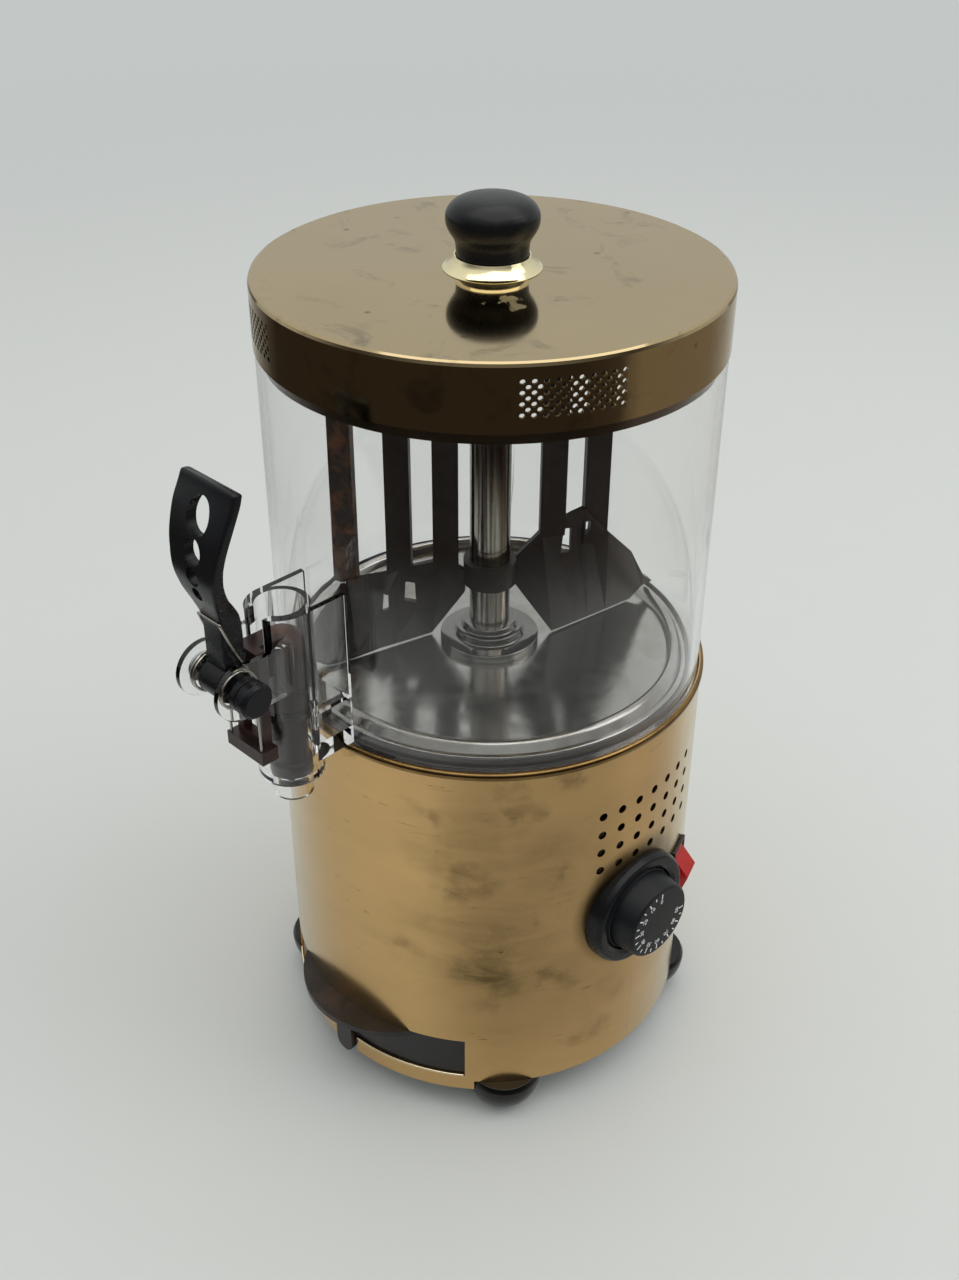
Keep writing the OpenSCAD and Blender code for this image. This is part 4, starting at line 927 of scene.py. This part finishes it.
class DISPENSER_OT_stage(Step):
    """Lays the pale floor and sets the lamps, the world and the camera"""
    bl_idname = "dispenser.stage"
    bl_label = "Stage"

    def build(self, sizes, colours):
        bpy.context.scene.view_settings.view_transform = "Standard"
        self.floor(colours)
        self.world()
        self.lamps()
        self.camera()

    def floor(self, colours):
        """A level disc of seamless paper, just below the feet."""
        rings = np.array([0.0, 0.3, 0.6, 1.0, 2.0, 4.0, 6.0]) / MM
        cos, sin = circle(96)
        points = np.stack([np.outer(rings, cos), np.outer(rings, sin), np.full((len(rings), 96), -0.4)], 2)
        mesh = closed_mesh("paper_floor", points.reshape(-1, 3), grid_faces(len(rings), 96))
        if mesh.polygons[0].normal.z < 0:
            mesh.flip_normals()
        mesh.materials.append(self.paper(colours))
        floor = linked("paper_floor", mesh)

    def paper(self, colours):
        """Matt paper. Far off it fades to the background for the camera. Metal and clear plastic see the
        dim room past the paper's edge, and the photographer's shade on the right."""
        material, tree, shader, place = blank("seamless_paper")
        feed(tree, shader, Roughness=0.9, Specular_IOR_Level=0.2, Base_Color=mix(
            tree, noise(tree, place, 30, 5), toned(colours.floor, 0.985), tuple(colours.floor)))
        path = add(tree, "LightPath").outputs
        through = path["Is Transmission Ray"]
        far = vector(tree, "LENGTH", place)
        flat = vector(tree, "NORMALIZE", place)
        side = add(tree, "SeparateXYZ", Vector=flat).outputs
        ahead = vector(tree, "DOT_PRODUCT", flat, TOWARDS)
        fade = calc(tree, "MULTIPLY", ease(tree, far, 0.7, 2.3),
                    calc(tree, "MAXIMUM", path["Is Camera Ray"], through))
        nearer = add(tree, "Mix", Factor=through, In2=ease(tree, ahead, -1.2, -0.4),
                     In3=ease(tree, ahead, -0.7, 0.2)).outputs[0]
        beyond = calc(tree, "MULTIPLY", ease(tree, far, 0.42, 0.62), nearer)
        shaded = calc(tree, "MULTIPLY", ease(tree, side["X"], 0.2, 0.75, 0, 0.4),
                      remap(tree, far, 0.1, 0.15))
        dim = calc(tree, "MULTIPLY", calc(tree, "MAXIMUM", beyond, shaded),
                   calc(tree, "MAXIMUM", path["Is Glossy Ray"], through))
        dark = add(tree, "ValToRGB", Fac=remap(tree, side["Y"], 1, -1),
                   stops=[(0.3, "8d8275"), (0.4, "4a423b"), (0.55, "3a332e")]).outputs[0]
        room = add(tree, "Emission", Color=dark).outputs[0]
        sky = add(tree, "Emission", Color=linear(BACKDROP)).outputs[0]
        near = add(tree, "MixShader", Fac=fade, In1=shader.outputs[0], In2=sky).outputs[0]
        output = next(n for n in tree.nodes if n.type == "OUTPUT_MATERIAL")
        feed(tree, output, Surface=add(tree, "MixShader", Fac=dim, In1=near, In2=room).outputs[0])
        return material

    def world(self):
        """An even pale room. The camera sees the backdrop's colour. Metal sees a bright ceiling that dims
        towards the horizon on the camera's side, and clear plastic sees the backdrop dim there too."""
        world = bpy.data.worlds.new("studio")
        bpy.context.scene.world = world
        world.use_nodes = True
        tree = world.node_tree
        tree.nodes.clear()
        path = add(tree, "LightPath").outputs
        way = add(tree, "TexCoord").outputs["Generated"]
        height = add(tree, "SeparateXYZ", Vector=way).outputs["Z"]
        ahead = vector(tree, "DOT_PRODUCT", way, TOWARDS)
        dim = calc(tree, "MULTIPLY", ease(tree, ahead, -0.35, 0.45), ease(tree, height, 0.25, 0.75, 1, 0))
        pale = mix(tree, remap(tree, height, 0, 0.8), linear("c9cccb"), linear("eeefee"))
        seen = add(tree, "Background", Color=linear("f1f3f2"), Strength=0.62)
        for ray, shade in (("Glossy", mix(tree, dim, pale, linear("39332f"))),
                           ("Transmission", mix(tree, dim, linear("d2d5d4"), linear("6d6a66"))),
                           ("Camera", linear(BACKDROP))):
            light = add(tree, "Background", Color=shade, Strength=1).outputs[0]
            seen = add(tree, "MixShader", Fac=path[f"Is {ray} Ray"], In1=seen.outputs[0], In2=light)
        add(tree, "OutputWorld", Surface=seen.outputs[0])

    def lamps(self):
        """A wide softbox overhead and a second, weaker one from the rear right."""
        for name, place, size, power, aim in (
                ("overhead_softbox", (0.25, 0.1, 2.4), 3.0, 34, (0, 0, 0.15)),
                ("side_softbox", (1.4, 1.0, 1.5), 1.2, 5, (0.3, 0.3, 0.1))):
            lamp = bpy.data.lights.new(name, "AREA")
            lamp.energy, lamp.size = power, size
            lamp.color = (1.0, 0.985, 0.96)
            holder = linked(name, lamp)
            direction = np.array(place) - np.array(aim)
            z_axis = direction / np.linalg.norm(direction)
            x_axis = np.cross([0, 1, 0], z_axis)
            x_axis /= np.linalg.norm(x_axis)
            turn = Matrix(np.stack([x_axis, np.cross(z_axis, x_axis), z_axis], 1).tolist()).to_4x4()
            holder.matrix_world = Matrix.Translation(place) @ turn

    def camera(self):
        """The camera of the photograph: above the front right, looking down a third of a right angle."""
        data = bpy.data.cameras.new("camera")
        data.lens, data.sensor_width, data.sensor_fit = 41.77, 36, "AUTO"
        camera = linked("camera", data)
        place, down, roll = (0.38704, -0.39868, 0.57117), 33.529, 0.2525
        camera.matrix_world = (Matrix.Translation(place)
                               @ Matrix.Rotation(math.radians(CAMERA_AZIMUTH), 4, "Z")
                               @ Matrix.Rotation(math.radians(90 - down), 4, "X")
                               @ Matrix.Rotation(math.radians(roll), 4, "Z"))
        bpy.context.scene.camera = camera


STEPS = [DISPENSER_OT_stage, DISPENSER_OT_finishes, DISPENSER_OT_base, DISPENSER_OT_dial,
         DISPENSER_OT_switch, DISPENSER_OT_pan, DISPENSER_OT_stirrer, DISPENSER_OT_bowl,
         DISPENSER_OT_tap, DISPENSER_OT_lid_top]


class DISPENSER_PT_build(bpy.types.Panel):
    """Lists the steps and the settings"""
    bl_label = "Hot chocolate dispenser"
    bl_idname = "DISPENSER_PT_build"
    bl_space_type = "VIEW_3D"
    bl_region_type = "UI"
    bl_category = "Dispenser"

    def draw(self, context):
        column = self.layout.column()
        for step in STEPS:
            column.operator(step.bl_idname)
        for group in (context.scene.dispenser_sizes, context.scene.dispenser_colours):
            for name in group.__annotations__:
                column.prop(group, name)


CLASSES = [DispenserSizes, DispenserColours, *STEPS, DISPENSER_PT_build]


def register():
    """Registers the settings, the steps and the panel."""
    for item in CLASSES:
        bpy.utils.register_class(item)
    bpy.types.Scene.dispenser_sizes = PointerProperty(type=DispenserSizes)
    bpy.types.Scene.dispenser_colours = PointerProperty(type=DispenserColours)


def unregister():
    """Takes them away again."""
    del bpy.types.Scene.dispenser_colours
    del bpy.types.Scene.dispenser_sizes
    for item in reversed(CLASSES):
        bpy.utils.unregister_class(item)


def main():
    register()
    for step in STEPS:
        group, name = step.bl_idname.split(".")
        getattr(getattr(bpy.ops, group), name)()


if __name__ == "__main__":
    main()
